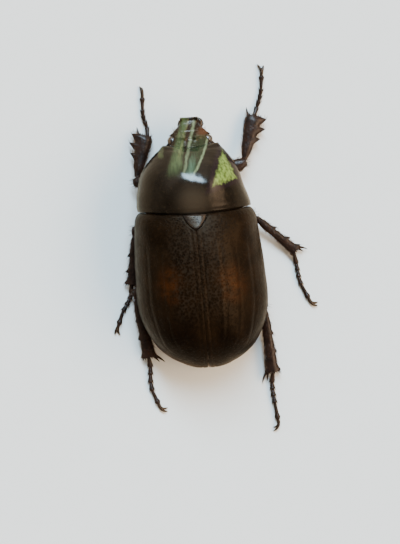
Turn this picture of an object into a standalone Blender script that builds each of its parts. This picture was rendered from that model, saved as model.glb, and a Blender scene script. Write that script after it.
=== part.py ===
"""Heterogomphus hirtus, a rhinoceros beetle, at life size, resting on its belly with its legs spread.

The body lies along Y with the head towards -Y, and +X is the beetle's left. Sizes are millimetres
and are turned into metres where a mesh is made. Until the last step Y is measured from the waist,
where the pronotum meets the elytra, X from the midline, and Z from the floor. The last step sets
the origin at the middle of the floor that the whole beetle covers.
"""

import math

import bmesh
import bpy
import numpy as np
from mathutils import Matrix, Vector

MM = 0.001
GAP = 0.3  # clearance between neighbouring pieces
LEFT = 1
RIGHT = -1
SIDES = {"left": LEFT, "right": RIGHT}

# Elytra: plan outline, height of the midline and height of the outer edge
ELYTRA_HALF_WIDTH = 10.4
ELYTRA_WIDEST_Y = 13.0
ELYTRA_END_Y = 24.65
ELYTRA_SHOULDER_DROP = 1.12  # how much narrower the shoulders are than the widest line
SHOULDER_ROUND = 0.9
SHOULDER_ROUND_REACH = 1.5
ELYTRA_CROWN_Y = 9.0
ELYTRA_CROWN_Z = 15.3
ELYTRA_FRONT_DROP = 2.0  # how much lower the midline is at the waist than at the crown
ELYTRA_RIM_Z = 4.7
ELYTRA_RIM_RISE = 0.9
ELYTRA_THICKNESS = 0.85
ELYTRA_CUT_SHORT = 0.2  # the two tips are rounded off this far before the end
EPIPLEURON_DROP = 0.9  # depth of the edge that folds down along the flank
DOME_ROUNDNESS = 0.92  # 1 is an ellipse, less is a flatter top with fuller shoulders
SUTURE_HALF_GAP = 0.19
TAIL_SWERVE = 0.03  # the rear body points this much to the right for each millimetre behind the waist
HUMERAL_BUMP = (7.2, 2.4, 1.9, 0.45)  # x, y, reach and height of the swelling behind the shoulder
APICAL_BUMP = (5.6, 19.6, 2.2, 0.4)

# Pronotum: stations of (y, value)
PRONOTUM_FRONT_Y = -10.9
PRONOTUM_HALF_WIDTH = ((-10.9, 4.3), (-9.0, 6.1), (-7.0, 7.5), (-4.0, 8.4), (-1.5, 8.85), (0.0, 8.95))
PRONOTUM_CROWN = ((-10.9, 8.3), (-9.5, 10.3), (-7.5, 12.9), (-5.5, 14.2), (-3.0, 14.4), (0.0, 13.4))
PRONOTUM_RIM = ((-10.9, 6.4), (-5.0, 6.0), (0.0, 5.7))
PRONOTUM_LIP = 0.5  # thickness of the side margin
FRONT_BOW = 0.7  # how far the front edge curves back at the midline
FRONT_BOW_REACH = 1.9
NECK_GAP = 0.45  # from the pronotum's front edge to the back of the head
FRONT_BOW_MIDDLE = 0.3  # what the middle of that face adds to the mean of its outline
PRONOTUM_PLACES = (-10.9, -10.2, -9.3, -8.3, -7.2, -6.0, -4.8, -3.5, -2.2, -1.0, -0.3, 0.0)
PRONOTUM_ROLL = 0.42  # the shield is rolled a little, so its two side margins stand this far to the left
WAIST_BOW = 0.85  # how far the seam between pronotum and elytra curves forward at its two ends
WAIST_BOW_REACH = 4.0

# Underside
UNDERSIDE_ROUNDNESS = 1.7
PROTHORAX_INSET = 0.6
PROTHORAX_SIDE = 0.5  # height of its flank above the curve of the belly
PROTHORAX_Y = (-10.3, -0.35)
PROTHORAX_RINGS = 11
PROTHORAX_BELLY = ((-10.3, 3.4), (-8.0, 1.8), (-5.5, 0.7), (-2.0, 0.9), (-0.35, 1.6))
BODY_INSET = ELYTRA_THICKNESS + GAP + 0.25  # inside of the elytra, with its clearance
THORAX_PLACES = (0.3, 0.5, 0.9, 1.4, 2.0, 2.8, 4.2, 5.6, 7.0, 8.4, 9.4, 10.2)
# The belly curve dips a little below the floor, so it ends in a flat there
THORAX_BELLY = (
    (0.3, 1.9), (0.5, 1.45), (0.9, 0.9), (1.4, 0.4), (2.0, 0.0), (2.8, -0.4), (3.6, -0.6), (10.2, -0.6),
)
ABDOMEN_Y = (10.5, 23.2)
ABDOMEN_BELLY = ((10.5, -0.6), (13.5, -0.6), (17.0, -0.45), (20.0, 0.4), (22.5, 2.0), (23.9, 3.3))
STERNITE_EDGES = (12.4, 14.4, 16.4, 18.4, 20.3, 22.1)
STERNITE_STEP = 0.16
STERNITE_STEP_Y = (-0.02, 0.04)  # where the step starts and ends, from the plate's edge
STERNITE_GROOVE = 0.6
STERNITE_SINK = 0.6  # a groove draws the flank in by this much of its depth
PYGIDIUM_Y = (23.5, 24.5)
PYGIDIUM_LOW = (2.2, 3.0)  # heights of its lower edge where it starts and ends
PYGIDIUM_TOP = (4.2, 4.0)
PYGIDIUM_HALF_WIDTH = 4.1
PYGIDIUM_BLUNTNESS = (0.12, 0.25)  # what is left of its width and height at the end

# Head: stations of (y, value)
HEAD_HALF_WIDTH = (
    (-15.2, 1.45), (-14.4, 1.55), (-13.8, 1.92), (-13.3, 2.38), (-12.8, 2.75), (-12.2, 3.0), (-11.2, 3.2),
)
HEAD_TOP = ((-15.2, 4.6), (-14.3, 4.85), (-13.2, 5.6), (-12.15, 6.6), (-11.2, 7.7))
HEAD_MIDDLE = ((-15.2, 4.35), (-13.75, 4.45), (-12.7, 4.9), (-11.2, 5.3))
HEAD_PLACES = (-15.2, -15.0, -14.5, -14.0, -13.5, -13.1, -13.0, -12.6, -12.15, -11.75, -11.35)
HEAD_BOTTOM_FRONT = 3.95  # underside of the clypeus
HEAD_BOTTOM_BACK = 2.3
MOUTH_Y = -13.05  # the step between the two
CLYPEUS_TOOTH = (1.25, -14.97, 0.3, (0.2, -0.4, 0.55))  # x, y, radius and the way to the tip
CLYPEUS_TOOTH_SUNK = 0.22
FRONTAL_RIDGE = (2.1, -12.25, 0.3)  # half-length, y and height over the head
FRONTAL_RIDGE_SUNK = 0.12
FRONTAL_RIDGE_TAPER = 0.8  # part of its section that is lost towards its ends
FRONTAL_TUBERCLE = (0.95, 0.42, 0.45)  # x, radius and height
FRONTAL_TUBERCLE_SUNK = 0.5
FRONTAL_TUBERCLE_TIP = 0.12
CANTHUS = ((2.82, -12.4, 5.03), (0.62, 0.34, 0.26))
EYE_CENTRE = (2.82, -11.65, 5.15)
EYE_RADIUS = 0.78
MANDIBLE_PATH = ((1.4, -13.65, 3.0), (1.62, -14.0, 3.0), (1.75, -14.55, 3.1), (1.47, -15.25, 3.25))
MANDIBLE_RADII = ((0.55, 0.45), (0.6, 0.42), (0.4, 0.33), (0.12, 0.12))
MANDIBLE_TOOTH = ((1.85, -13.95, 3.1), (2.38, -14.25, 3.3), 0.28)
MANDIBLE_TUCKS = {"left": (0.5, 0.0), "right": (0.0, 0.0)}  # drawn in and drawn back
PALP_PATH = ((0.85, -12.4, 1.65), (1.0, -13.05, 1.6), (1.2, -13.7, 1.75), (1.4, -14.35, 2.0))
PALP_RADII = (0.27, 0.27, 0.32, 0.2)
ANTENNA_SCAPE = ((2.4, -12.7, 2.75), (2.75, -12.05, 2.5))
ANTENNA_END = (3.75, -10.85, 2.35)
SCAPE_RADII = (0.27, 0.36, 0.3)
FUNICLE_SEGMENTS = 6
BEAD_RINGS = ((0.25, 0.25), (0.75, 0.34))  # part of a bead's length and radius
CLUB_STEM = (0.12, 0.27)  # how far the stem runs on into the club, and its radius there
CLUB_TIP = (4.75, -9.25, 2.3)
CLUB_HALF_WIDTH = 0.62
CLUB_LEAF_SPREAD = 0.32
CLUB_LEAF_SHIFT = (0.04, 0.03)
CLUB_LEAF_LENGTHS = ((-1, 0.93), (0, 1.0), (1, 0.96))  # each leaf's step up and its length
# Part of a leaf's length, of its spread, of its half-width, and its half-thickness
CLUB_LEAF_RINGS = (
    (-0.05, 0.3, 0.45, 0.16),
    (0.35, 1.0, 1.0, 0.2),
    (0.75, 1.1, 0.92, 0.21),
    (1.0, 1.0, 0.48, 0.12),
)

# Scutellum
SCUTELLUM_HALF_WIDTH = 1.85
SCUTELLUM_Y = (0.3, 2.55)
SCUTELLUM_DEPTH = 0.8
SCUTELLUM_ARCH = 0.06  # its top falls by this times the square of the distance from the midline
SCUTELLUM_PLACES = (0.0, 0.2, 0.4, 0.6, 0.78, 0.92, 0.985)  # parts of its length
SCUTELLUM_SUNK = 0.05
NOTCH_MARGIN = GAP + 0.1  # its slanting sides bring the edges closer than this
NOTCH_HEIGHTS = (-3.0, 2.0)  # depth and height of the room cut for it in the elytra

# Legs: each coxa as centre and radii, on the left side
COXAE = {
    "fore": ((2.3, -5.6, 1.75), (1.9, 1.15, 1.2)),
    "middle": ((2.5, 3.5, 1.45), (1.9, 1.15, 1.1)),
    "hind": ((3.0, 9.0, 1.45), (2.5, 1.05, 1.1)),
}
KNEES = {
    "fore_left": (9.1, -5.5, 2.3),
    "fore_right": (-8.35, -7.6, 2.3),
    "middle_left": (9.8, 2.3, 2.5),
    "middle_right": (-9.3, 0.9, 2.5),
    "hind_left": (10.35, 12.4, 2.1),
    "hind_right": (-10.2, 15.7, 2.1),
}
ANKLES = {
    "fore_left": (7.25, -12.95, 1.0),
    "fore_right": (-10.5, -15.0, 1.0),
    "middle_left": (10.85, 10.8, 1.05),
    "middle_right": (-15.85, 7.1, 1.05),
    "hind_left": (8.75, 22.75, 1.1),
    "hind_right": (-10.9, 26.4, 1.1),
}
# The ends of the five tarsal segments, in plan
TARSI = {
    "fore_left": ((6.8, -14.35), (7.1, -15.25), (7.3, -16.15), (7.35, -17.1), (7.25, -19.1)),
    "fore_right": ((-11.1, -16.45), (-11.45, -17.35), (-11.75, -18.25), (-11.95, -19.25), (-12.15, -21.4)),
    "middle_left": ((11.05, 12.25), (11.4, 13.2), (11.95, 14.15), (12.55, 15.05), (13.4, 17.15)),
    "middle_right": ((-15.9, 9.2), (-16.0, 10.3), (-16.15, 11.4), (-16.45, 12.6), (-17.5, 14.85)),
    "hind_left": ((8.72, 24.4), (8.82, 25.65), (8.87, 26.95), (8.7, 28.25), (7.85, 30.4)),
    "hind_right": ((-10.75, 28.15), (-10.8, 29.25), (-10.87, 30.4), (-11.0, 31.5), (-11.35, 34.15)),
}
# How far the claws hook sideways: 0 splays them evenly, +1 or -1 hooks both towards +X or -X
CLAW_HOOKS = {
    "fore_left": 0.25,
    "fore_right": 0.2,
    "middle_left": -0.3,
    "middle_right": -0.75,
    "hind_left": -0.8,
    "hind_right": 0.9,
}
FEMUR_STATIONS = ((0.0, 0.5), (0.12, 0.86), (0.35, 1.18), (0.65, 1.1), (0.88, 0.85), (1.0, 0.6))
FEMUR_FLATNESS = 0.74
KNEE_RADIUS = 0.7
# How far from the middle of its knee each tibia starts, clear of the femur's end
TIBIA_STARTS = {
    "fore_left": 1.45,
    "fore_right": 1.0,
    "middle_left": 1.2,
    "middle_right": 1.0,
    "hind_left": 1.0,
    "hind_right": 1.0,
}
COXA_CLEARANCE = 0.25  # added where a femur leaves its coxa at a slant
BED_MARGIN = 0.45  # a leg's hollow in the underside is this much wider than the leg
# Half-width of each tibia against the part of its length from the knee
TIBIA_STATIONS = {
    "fore": ((0.0, 0.5), (0.12, 0.74), (0.4, 0.98), (0.72, 1.26), (0.93, 1.28), (1.0, 1.05)),
    "middle": ((0.0, 0.42), (0.1, 0.54), (0.5, 0.62), (0.85, 0.78), (1.0, 0.9)),
    "hind": ((0.0, 0.48), (0.1, 0.64), (0.5, 0.8), (0.85, 1.0), (1.0, 1.12)),
}
TIBIA_FLATNESS = 0.6
TIBIA_HEAD_FLATNESS = 0.8
# Teeth of the outer edge: part of the length, length and radius
TIBIA_TEETH = {
    "fore": ((0.42, 1.15, 0.44), (0.67, 1.4, 0.48), (0.92, 1.15, 0.5)),
    "middle": ((0.36, 0.7, 0.3), (0.7, 0.75, 0.33), (0.95, 0.7, 0.32)),
    "hind": ((0.34, 0.45, 0.3), (0.64, 0.6, 0.36), (0.95, 0.6, 0.36)),
}
TOOTH_LEAN = 0.45  # how much a tooth points towards the foot
SPUR_LENGTHS = {"fore": (1.3,), "middle": (1.5, 1.1), "hind": (1.9, 1.4)}
SPUR_RADIUS = 0.27
SPUR_SPREAD = 0.55  # how far the first spur turns aside, against 1 along the tibia
WIDE_SPUR_SPREADS = {"hind_left": 1.0}
SPUR_FAN = 0.3  # how much closer to the middle, and straighter, each further spur is
SPUR_PLACE = 0.82  # part of the end's half-width where the first stands
SPUR_LOWERED = 0.25
SPUR_TIP_Z = 0.1
SPUR_SWAP = -0.3  # a foot set further inward than this has its spurs on the outer side
END_TOOTH_PLACES = (-0.88, 0.58, 0.9)  # parts of the end's half-width, positive outwards
END_TOOTH_LENGTH = 0.42
END_TOOTH_RADIUS = 0.22
END_TOOTH_RAISED = 0.28
ROOT_SUNK = 0.42  # how deep the roots of spurs and end teeth go into the tibia
TOOTH_SUNK = 0.25
TOOTH_INSET = 0.3  # the middle of a tooth's foot lies this far inside the edge
TARSUS_START = GAP + 0.1  # from the ankle
TARSUS_LEVEL = 0.9  # height of a foot's middle line against its widest radius
# Where each foot leaves its tibia, outward from the middle, and on which side the spurs stand
TARSUS_SHIFTS = {
    "fore_left": -0.5,
    "fore_right": 0.0,
    "middle_left": 0.1,
    "middle_right": -0.35,
    "hind_left": 0.15,
    "hind_right": 0.15,
}
TARSUS_RADII = {"fore": (0.27, 0.38), "middle": (0.28, 0.42), "hind": (0.28, 0.46)}  # neck and swell
CLAW_SEGMENT_RADIUS = 0.45
CLAW_REACH = 1.25
CLAW_ROOT_RADIUS = 0.3
CLAW_RADIUS = 0.25
CLAW_TIP_RADIUS = 0.06
CLAW_SPLAY = (0.34, 0.62)  # how far an even pair stands apart at its bend and at its tips
CLAW_HOOK_REACH = (0.1, 1.15)  # how far a hooked pair goes aside at the same two places
CLAW_BEND = (0.62, 0.12)  # where the bend lies along the claw, and what sets the two apart
CLAW_TIP = (0.72, 0.24, 0.26)  # the same for the tips: hooked, what evenness adds, the difference
CLAW_ARCH = (0.12, 0.1)
CLAW_TIP_Z = 0.15

# Colours, linear red, green and blue, with roughness
CHITIN = ((0.022, 0.010, 0.005), 0.28)
PRONOTUM_CHITIN = ((0.020, 0.012, 0.006), 0.16)
LEG_CHITIN = ((0.014, 0.007, 0.005), 0.32)
BELLY_CHITIN = ((0.045, 0.018, 0.008), 0.36)
HORN_CHITIN = ((0.008, 0.005, 0.004), 0.25)
EYE_GLOSS = ((0.030, 0.020, 0.012), 0.12)

made = bpy.data.collections.new("heterogomphus_hirtus")
helpers = bpy.data.collections.new("cutters_and_roots")


def clear_scene():
    """Removes whatever the start-up file holds."""
    for item in list(bpy.data.objects):
        bpy.data.objects.remove(item, do_unlink=True)
    bpy.context.scene.collection.children.link(made)
    bpy.context.scene.collection.children.link(helpers)
    helpers.hide_render = True


def through(stations, at):
    """The value at one place of a smooth curve through stations of (place, value)."""
    places, values = np.array(stations, float).T
    slopes = np.gradient(values, places)
    i = int(np.clip(np.searchsorted(places, at) - 1, 0, len(places) - 2))
    span = places[i + 1] - places[i]
    t = float(np.clip((at - places[i]) / span, 0.0, 1.0))
    start = values[i] * (1 + 2 * t) * (1 - t) ** 2 + slopes[i] * span * t * (1 - t) ** 2
    end = values[i + 1] * t * t * (3 - 2 * t) + slopes[i + 1] * span * t * t * (t - 1)
    return start + end


def finish(name, look):
    """A Principled material of one colour and gloss."""
    colour, roughness = look
    material = bpy.data.materials.new(name)
    material.use_nodes = True
    shader = material.node_tree.nodes["Principled BSDF"]
    shader.inputs["Base Color"].default_value = (*colour, 1.0)
    shader.inputs["Roughness"].default_value = roughness
    shader.inputs["Metallic"].default_value = 0.0
    return material


def place(name, mesh, look=None):
    """A named object on a mesh; without a look it is a helper, left out of the model."""
    item = bpy.data.objects.new(name, mesh)
    if look is None:
        item.hide_render = True
        item.display_type = "WIRE"
        helpers.objects.link(item)
        return item
    mesh.materials.clear()
    mesh.materials.append(finish(name + "_finish", look))
    made.objects.link(item)
    return item


def loft(name, rings, look=None, end_shifts=(0.0, 0.0)):
    """A closed body through rings of equally many points, its ends closed by fans.

    end_shifts moves the middle of each end along Y, for an end that curves.
    """
    rings = np.asarray(rings, float)
    count, around = rings.shape[:2]
    middles = np.array([rings[0].mean(axis=0), rings[-1].mean(axis=0)])
    middles[:, 1] += end_shifts
    points = np.vstack([rings.reshape(-1, 3), middles])
    faces = []
    for i in range(count - 1):
        for j in range(around):
            k = (j + 1) % around
            faces.append((i * around + j, i * around + k, (i + 1) * around + k, (i + 1) * around + j))
    last = (count - 1) * around
    for j in range(around):
        k = (j + 1) % around
        faces.append((j, count * around, k))
        faces.append((last + k, count * around + 1, last + j))
    mesh = bpy.data.meshes.new(name)
    mesh.from_pydata((points * MM).tolist(), [], faces)
    face_out(mesh)
    return place(name, mesh, look)


def face_out(mesh):
    """Turns every face of a closed mesh outwards and shades it smooth up to a crease."""
    work = bmesh.new()
    work.from_mesh(mesh)
    bmesh.ops.recalc_face_normals(work, faces=work.faces)
    if work.calc_volume(signed=True) < 0:
        bmesh.ops.reverse_faces(work, faces=work.faces)
    work.to_mesh(mesh)
    work.free()
    mesh.shade_smooth()
    mesh.set_sharp_from_angle(angle=math.radians(40))


def limb(name, path, radii, sides, look=None, up=(0.0, 0.0, 1.0)):
    """A tube of oval rings along a path; radii holds (across, along up) for each point of it."""
    path = np.asarray(path, float)
    headings = np.gradient(path, axis=0)
    angles = np.arange(sides) / sides * 2 * math.pi + math.pi / sides
    rings = []
    for point, heading, (across, tall) in zip(path, headings, radii):
        heading = heading / np.linalg.norm(heading)
        side = np.cross(heading, up)
        side /= np.linalg.norm(side)
        top = np.cross(side, heading)
        ring = point + np.outer(np.cos(angles) * across, side) + np.outer(np.sin(angles) * tall, top)
        rings.append(ring)
    return loft(name, rings, look)


def ellipsoid(name, centre, radii, look=None, segments=14, rows=8):
    """A stretched sphere."""
    mesh = bpy.data.meshes.new(name)
    work = bmesh.new()
    bmesh.ops.create_uvsphere(work, u_segments=segments, v_segments=rows, radius=1.0)
    stretch = Matrix.Translation(Vector(centre) * MM) @ Matrix.Diagonal((*(Vector(radii) * MM), 1.0))
    bmesh.ops.transform(work, matrix=stretch, verts=work.verts)
    work.to_mesh(mesh)
    work.free()
    face_out(mesh)
    return place(name, mesh, look)


def spike(name, root, tip, radius, sides=6, tip_radius=CLAW_TIP_RADIUS):
    """A cone from a root to a tip, for a tooth, spur or tubercle."""
    root = Vector(root)
    tip = Vector(tip)
    along = tip - root
    mesh = bpy.data.meshes.new(name)
    work = bmesh.new()
    bmesh.ops.create_cone(
        work, cap_ends=True, segments=sides, radius1=radius, radius2=tip_radius, depth=along.length
    )
    turn = along.to_track_quat("Z", "Y").to_matrix().to_4x4()
    stand = Matrix.Scale(MM, 4) @ Matrix.Translation((root + tip) / 2) @ turn
    bmesh.ops.transform(work, matrix=stand, verts=work.verts)
    work.to_mesh(mesh)
    work.free()
    face_out(mesh)
    return place(name, mesh)


def settle(item):
    """Replaces an object's mesh by what its modifiers make of it, and keeps its largest body."""
    graph = bpy.context.evaluated_depsgraph_get()
    graph.update()
    mesh = bpy.data.meshes.new_from_object(item.evaluated_get(graph), depsgraph=graph)
    item.modifiers.clear()
    item.data = mesh
    keep_largest(mesh)
    mesh.shade_smooth()
    mesh.set_sharp_from_angle(angle=math.radians(40))


def keep_largest(mesh):
    """Deletes every closed surface of a mesh but the one that reaches furthest."""
    work = bmesh.new()
    work.from_mesh(mesh)
    unseen = set(work.verts)
    bodies = []
    while unseen:
        front = [unseen.pop()]
        body = set(front)
        while front:
            vert = front.pop()
            for edge in vert.link_edges:
                other = edge.other_vert(vert)
                if other in unseen:
                    unseen.discard(other)
                    body.add(other)
                    front.append(other)
        corners = np.array([vert.co for vert in body])
        bodies.append((float(np.prod(np.ptp(corners, axis=0))), len(bodies), body))
    largest = max(bodies)[2]
    spare = [vert for vert in work.verts if vert not in largest]
    bmesh.ops.delete(work, geom=spare, context="VERTS")
    work.to_mesh(mesh)
    work.free()


def fuse(item, pieces):
    """Joins closed pieces to an object as one body."""
    group = bpy.data.collections.new(item.name + "_pieces")
    bpy.context.scene.collection.children.link(group)
    group.hide_render = True
    for piece in pieces:
        group.objects.link(piece)
    union = item.modifiers.new("fused_pieces", "BOOLEAN")
    union.operation = "UNION"
    union.solver = "MANIFOLD"
    union.operand_type = "COLLECTION"
    union.collection = group
    settle(item)
    for piece in pieces:
        bpy.data.objects.remove(piece, do_unlink=True)
    bpy.data.collections.remove(group)


def carve(item, cutters):
    """Cuts each cutter out of an object, one after another."""
    for cutter in cutters:
        cut = item.modifiers.new("clearance", "BOOLEAN")
        cut.operation = "DIFFERENCE"
        cut.solver = "MANIFOLD"
        cut.object = cutter
        settle(item)


def discard(items):
    """Removes helper objects that have done their work."""
    for item in items:
        bpy.data.objects.remove(item, do_unlink=True)


def flatten_on_floor(item):
    """Lifts what would dip below the floor onto it, as a small flat."""
    for vert in item.data.vertices:
        vert.co.z = max(vert.co.z, 0.0)


def elytra_half_width(y, inset=0.0):
    """Half-width of the elytra in plan: rounded shoulders, a slow swelling, then half an ellipse."""
    behind = np.clip((y - ELYTRA_WIDEST_Y) / (ELYTRA_END_Y - inset - ELYTRA_WIDEST_Y), 0.0, 1.0)
    ahead = np.clip((ELYTRA_WIDEST_Y - y) / ELYTRA_WIDEST_Y, 0.0, 1.0)
    corner = np.clip(1.0 - y / SHOULDER_ROUND_REACH, 0.0, 1.0)
    swell = ELYTRA_SHOULDER_DROP * ahead**2 + SHOULDER_ROUND * corner**2
    return (ELYTRA_HALF_WIDTH - inset) * math.sqrt(1.0 - behind**2) - swell


def elytra_rim(y):
    """Height of the outer edge, lowest at mid-length."""
    return ELYTRA_RIM_Z + ELYTRA_RIM_RISE * ((y - ELYTRA_WIDEST_Y) / ELYTRA_WIDEST_Y) ** 2


def elytra_crown(y, inset=0.0):
    """Height of the midline: an arch up to the crown, then a quarter of an ellipse down to the tips."""
    behind = np.clip((y - ELYTRA_CROWN_Y) / (ELYTRA_END_Y - inset - ELYTRA_CROWN_Y), 0.0, 1.0)
    ahead = np.clip((ELYTRA_CROWN_Y - y) / ELYTRA_CROWN_Y, 0.0, 1.0)
    rise = (ELYTRA_CROWN_Z - inset - elytra_rim(ELYTRA_CROWN_Y)) * math.sqrt(1.0 - behind**2)
    return elytra_rim(y) + rise - ELYTRA_FRONT_DROP * ahead**2


def bump_height(x, y, bump):
    """A rounded swelling of the surface around one place."""
    bump_x, bump_y, reach, height = bump
    return height * math.exp(-((abs(x) - bump_x) ** 2 + (y - bump_y) ** 2) / reach**2)


def dome_point(y, angle, half_width, rim, crown):
    """A point of a cross-section, from the midline at angle 0 to the outer edge at a right angle."""
    x = half_width * math.sin(angle) ** DOME_ROUNDNESS
    z = rim + (crown - rim) * max(math.cos(angle), 0.0) ** DOME_ROUNDNESS
    return x, y, z


def underside(half_width, side_z, belly_z, steps):
    """The lower half of a cross-section, from the left side to the right, without its two ends."""
    points = []
    for angle in np.linspace(0.0, math.pi, steps + 2)[1:-1]:
        share = math.cos(angle)
        z = belly_z + (side_z - belly_z) * abs(share) ** UNDERSIDE_ROUNDNESS
        points.append((half_width * share, max(z, 0.0)))
    return points


def body_ring(y, half_width, rim, crown, side_z, belly_z, top_steps=10, low_steps=11):
    """A closed cross-section of the trunk: dome above, straight flank, curved underside."""
    ring = []
    for angle in np.linspace(-math.pi / 2, math.pi / 2, top_steps + 1):
        x, _, z = dome_point(y, abs(angle), half_width, rim, crown)
        ring.append((math.copysign(x, angle), y, z))
    ring.append((half_width, y, side_z))
    ring += [(x, y, z) for x, z in underside(half_width, side_z, belly_z, low_steps)]
    ring.append((-half_width, y, side_z))
    return ring


def swerve(y):
    """How far the rear body's middle line stands to the left at y; negative is to the right."""
    return -TAIL_SWERVE * max(y, 0.0)


def waist_bow(x, y):
    """How far the seam at the waist stands forward at x, fading out on both sides of it."""
    fade = max(1.0 - abs(y) / WAIST_BOW_REACH, 0.0)
    return WAIST_BOW * (x / PRONOTUM_HALF_WIDTH[-1][1]) ** 2 * fade


def make_elytron(name, side):
    """One wing case: an open surface over half the back and down its edge, thickened inwards."""
    rows = 20
    columns = 11
    last_y = ELYTRA_END_Y - ELYTRA_CUT_SHORT
    shares = np.sin(np.linspace(0.0, math.pi / 2, rows))
    grid = []
    for y in GAP + (last_y - GAP) * shares:
        half_width = elytra_half_width(y)
        rim = elytra_rim(y)
        crown = elytra_crown(y)
        for angle in np.linspace(0.0, math.pi / 2, columns):
            x, _, z = dome_point(y, angle, half_width - SUTURE_HALF_GAP, rim, crown)
            x += SUTURE_HALF_GAP
            z += bump_height(x, y, HUMERAL_BUMP) + bump_height(x, y, APICAL_BUMP)
            grid.append((side * x + swerve(y), y - waist_bow(x, y), z))
        edge_y = y - waist_bow(half_width, y)
        grid.append((side * half_width + swerve(y), edge_y, rim - EPIPLEURON_DROP))
    columns += 1
    faces = []
    for i in range(rows - 1):
        for j in range(columns - 1):
            a = i * columns + j
            quad = (a, a + 1, a + columns + 1, a + columns)
            faces.append(quad if side == LEFT else quad[::-1])
    mesh = bpy.data.meshes.new(name)
    mesh.from_pydata((np.array(grid) * MM).tolist(), [], faces)
    mesh.shade_smooth()
    mesh.set_sharp_from_angle(angle=math.radians(50))
    item = place(name, mesh, CHITIN)
    shell = item.modifiers.new("wall", "SOLIDIFY")
    shell.thickness = ELYTRA_THICKNESS * MM
    shell.offset = -1.0
    return item


def scutellum_half_width(y, margin=0.0):
    """Half-width of the small shield between the wing cases: full at the waist, round at its tip."""
    start, end = SCUTELLUM_Y
    share = np.clip((y - start) / (end + margin - start), 0.0, 1.0)
    return (SCUTELLUM_HALF_WIDTH + margin) * (1.0 - share**1.6) ** 0.8


def scutellum_body(name, margin, low, high, look=None):
    """The shield's outline as a solid between two depths below the surface of the back."""
    rings = []
    start, end = SCUTELLUM_Y
    for y in start + (end + margin - start) * np.array(SCUTELLUM_PLACES):
        half_width = scutellum_half_width(y, margin)
        top = elytra_crown(y)
        across = half_width * np.linspace(-1.0, 1.0, 7)
        ring = [(x + swerve(y), y, top - SCUTELLUM_ARCH * x**2 + high) for x in across]
        ring += [(x + swerve(y), y, top - SCUTELLUM_ARCH * x**2 + low) for x in across[::-1]]
        rings.append(ring)
    return loft(name, rings, look)


def make_scutellum(elytra):
    """The scutellum, and the notch for it in each wing case."""
    cutter = scutellum_body("scutellum_notch", NOTCH_MARGIN, *NOTCH_HEIGHTS)
    for vert in cutter.data.vertices:
        if vert.co.y < (SCUTELLUM_Y[0] + 0.01) * MM:
            vert.co.y -= MM
    for elytron in elytra:
        settle(elytron)
        carve(elytron, [cutter])
    discard([cutter])
    return scutellum_body("scutellum", 0.0, -SCUTELLUM_DEPTH, -SCUTELLUM_SUNK, CHITIN)


def make_pronotum():
    """The shield over the first thoracic segment, with its front edge curving round the head."""
    rings = []
    for y in PRONOTUM_PLACES:
        half_width = through(PRONOTUM_HALF_WIDTH, y)
        rim = through(PRONOTUM_RIM, y)
        crown = through(PRONOTUM_CROWN, y)
        low = rim - PRONOTUM_LIP
        ring = []
        for angle in np.linspace(-math.pi / 2, math.pi / 2, 21):
            x, _, z = dome_point(y, abs(angle), half_width, rim, crown)
            ring.append((math.copysign(x, angle), y, z, 1.0 - (z - rim) / (crown - rim)))
        inner = half_width - PRONOTUM_LIP
        ring += [(inner * share, y, low, 1.0) for share in np.linspace(1.0, -1.0, 7)]
        rings.append([
            (x + roll(y) * part, y + front_bow(x, y) - waist_bow(x, y), z) for x, y, z, part in ring
        ])
    return loft("pronotum", rings, PRONOTUM_CHITIN, (FRONT_BOW_MIDDLE, 0.0))


def roll(y):
    """How far the pronotum's margins stand to the left at y, most in the middle of its length."""
    return PRONOTUM_ROLL * math.sin(math.pi * min(y / PRONOTUM_FRONT_Y, 1.0))


def front_bow(x, y):
    """How far the pronotum's front edge stands back at x, fading out behind it."""
    corner = through(PRONOTUM_HALF_WIDTH, PRONOTUM_FRONT_Y)
    across = max(1.0 - (x / corner) ** 2, 0.0)
    fade = max(1.0 - abs(y - PRONOTUM_FRONT_Y) / FRONT_BOW_REACH, 0.0)
    return FRONT_BOW * across * fade**2


def make_prothorax():
    """The underside of the first segment, below the pronotum, which carries the fore legs."""
    rings = []
    for y in np.linspace(*PROTHORAX_Y, PROTHORAX_RINGS):
        half_width = through(PRONOTUM_HALF_WIDTH, y) - PROTHORAX_INSET
        top = through(PRONOTUM_RIM, y) - PRONOTUM_LIP - GAP
        belly = through(PROTHORAX_BELLY, y)
        ring = [(half_width * share, y, top) for share in np.linspace(-1.0, 1.0, 7)]
        side_z = top - PROTHORAX_SIDE
        ring.append((half_width, y, side_z))
        ring += [(x, y, z) for x, z in underside(half_width, side_z, belly, 13)]
        ring.append((-half_width, y, side_z))
        rings.append([(x + roll(y), y - waist_bow(x, y), z) for x, y, z in ring])
    return loft("prothorax", rings, BELLY_CHITIN)


def trunk_ring(y, belly, sunk=0.0):
    """A cross-section of the trunk under the wing cases; sunk draws its underside in."""
    half_width = elytra_half_width(y, BODY_INSET) - sunk * STERNITE_SINK
    rim = elytra_rim(y)
    crown = elytra_crown(y, BODY_INSET)
    side_z = rim - EPIPLEURON_DROP - GAP
    ring = body_ring(y, half_width, rim, crown, side_z, belly + sunk)
    return [(x + swerve(y), y, z) for x, y, z in ring]


def make_thorax():
    """The second and third thoracic segments, which carry the wing cases and four of the legs."""
    rings = [trunk_ring(y, through(THORAX_BELLY, y)) for y in THORAX_PLACES]
    return loft("thorax", rings, BELLY_CHITIN)


def make_abdomen():
    """The abdomen, with the edge of each ventral plate standing over the next one."""
    places = [(ABDOMEN_Y[0], 0.0)]
    step_start, step_end = STERNITE_STEP_Y
    for edge in STERNITE_EDGES:
        places.append((edge + step_start, 0.0))
        places.append((edge + step_end, STERNITE_STEP))
        places.append((edge + STERNITE_GROOVE, 0.0))
    places.append((ABDOMEN_Y[1], 0.0))
    rings = [trunk_ring(y, through(ABDOMEN_BELLY, y), sunk) for y, sunk in places]
    return loft("abdomen", rings, BELLY_CHITIN)


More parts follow.
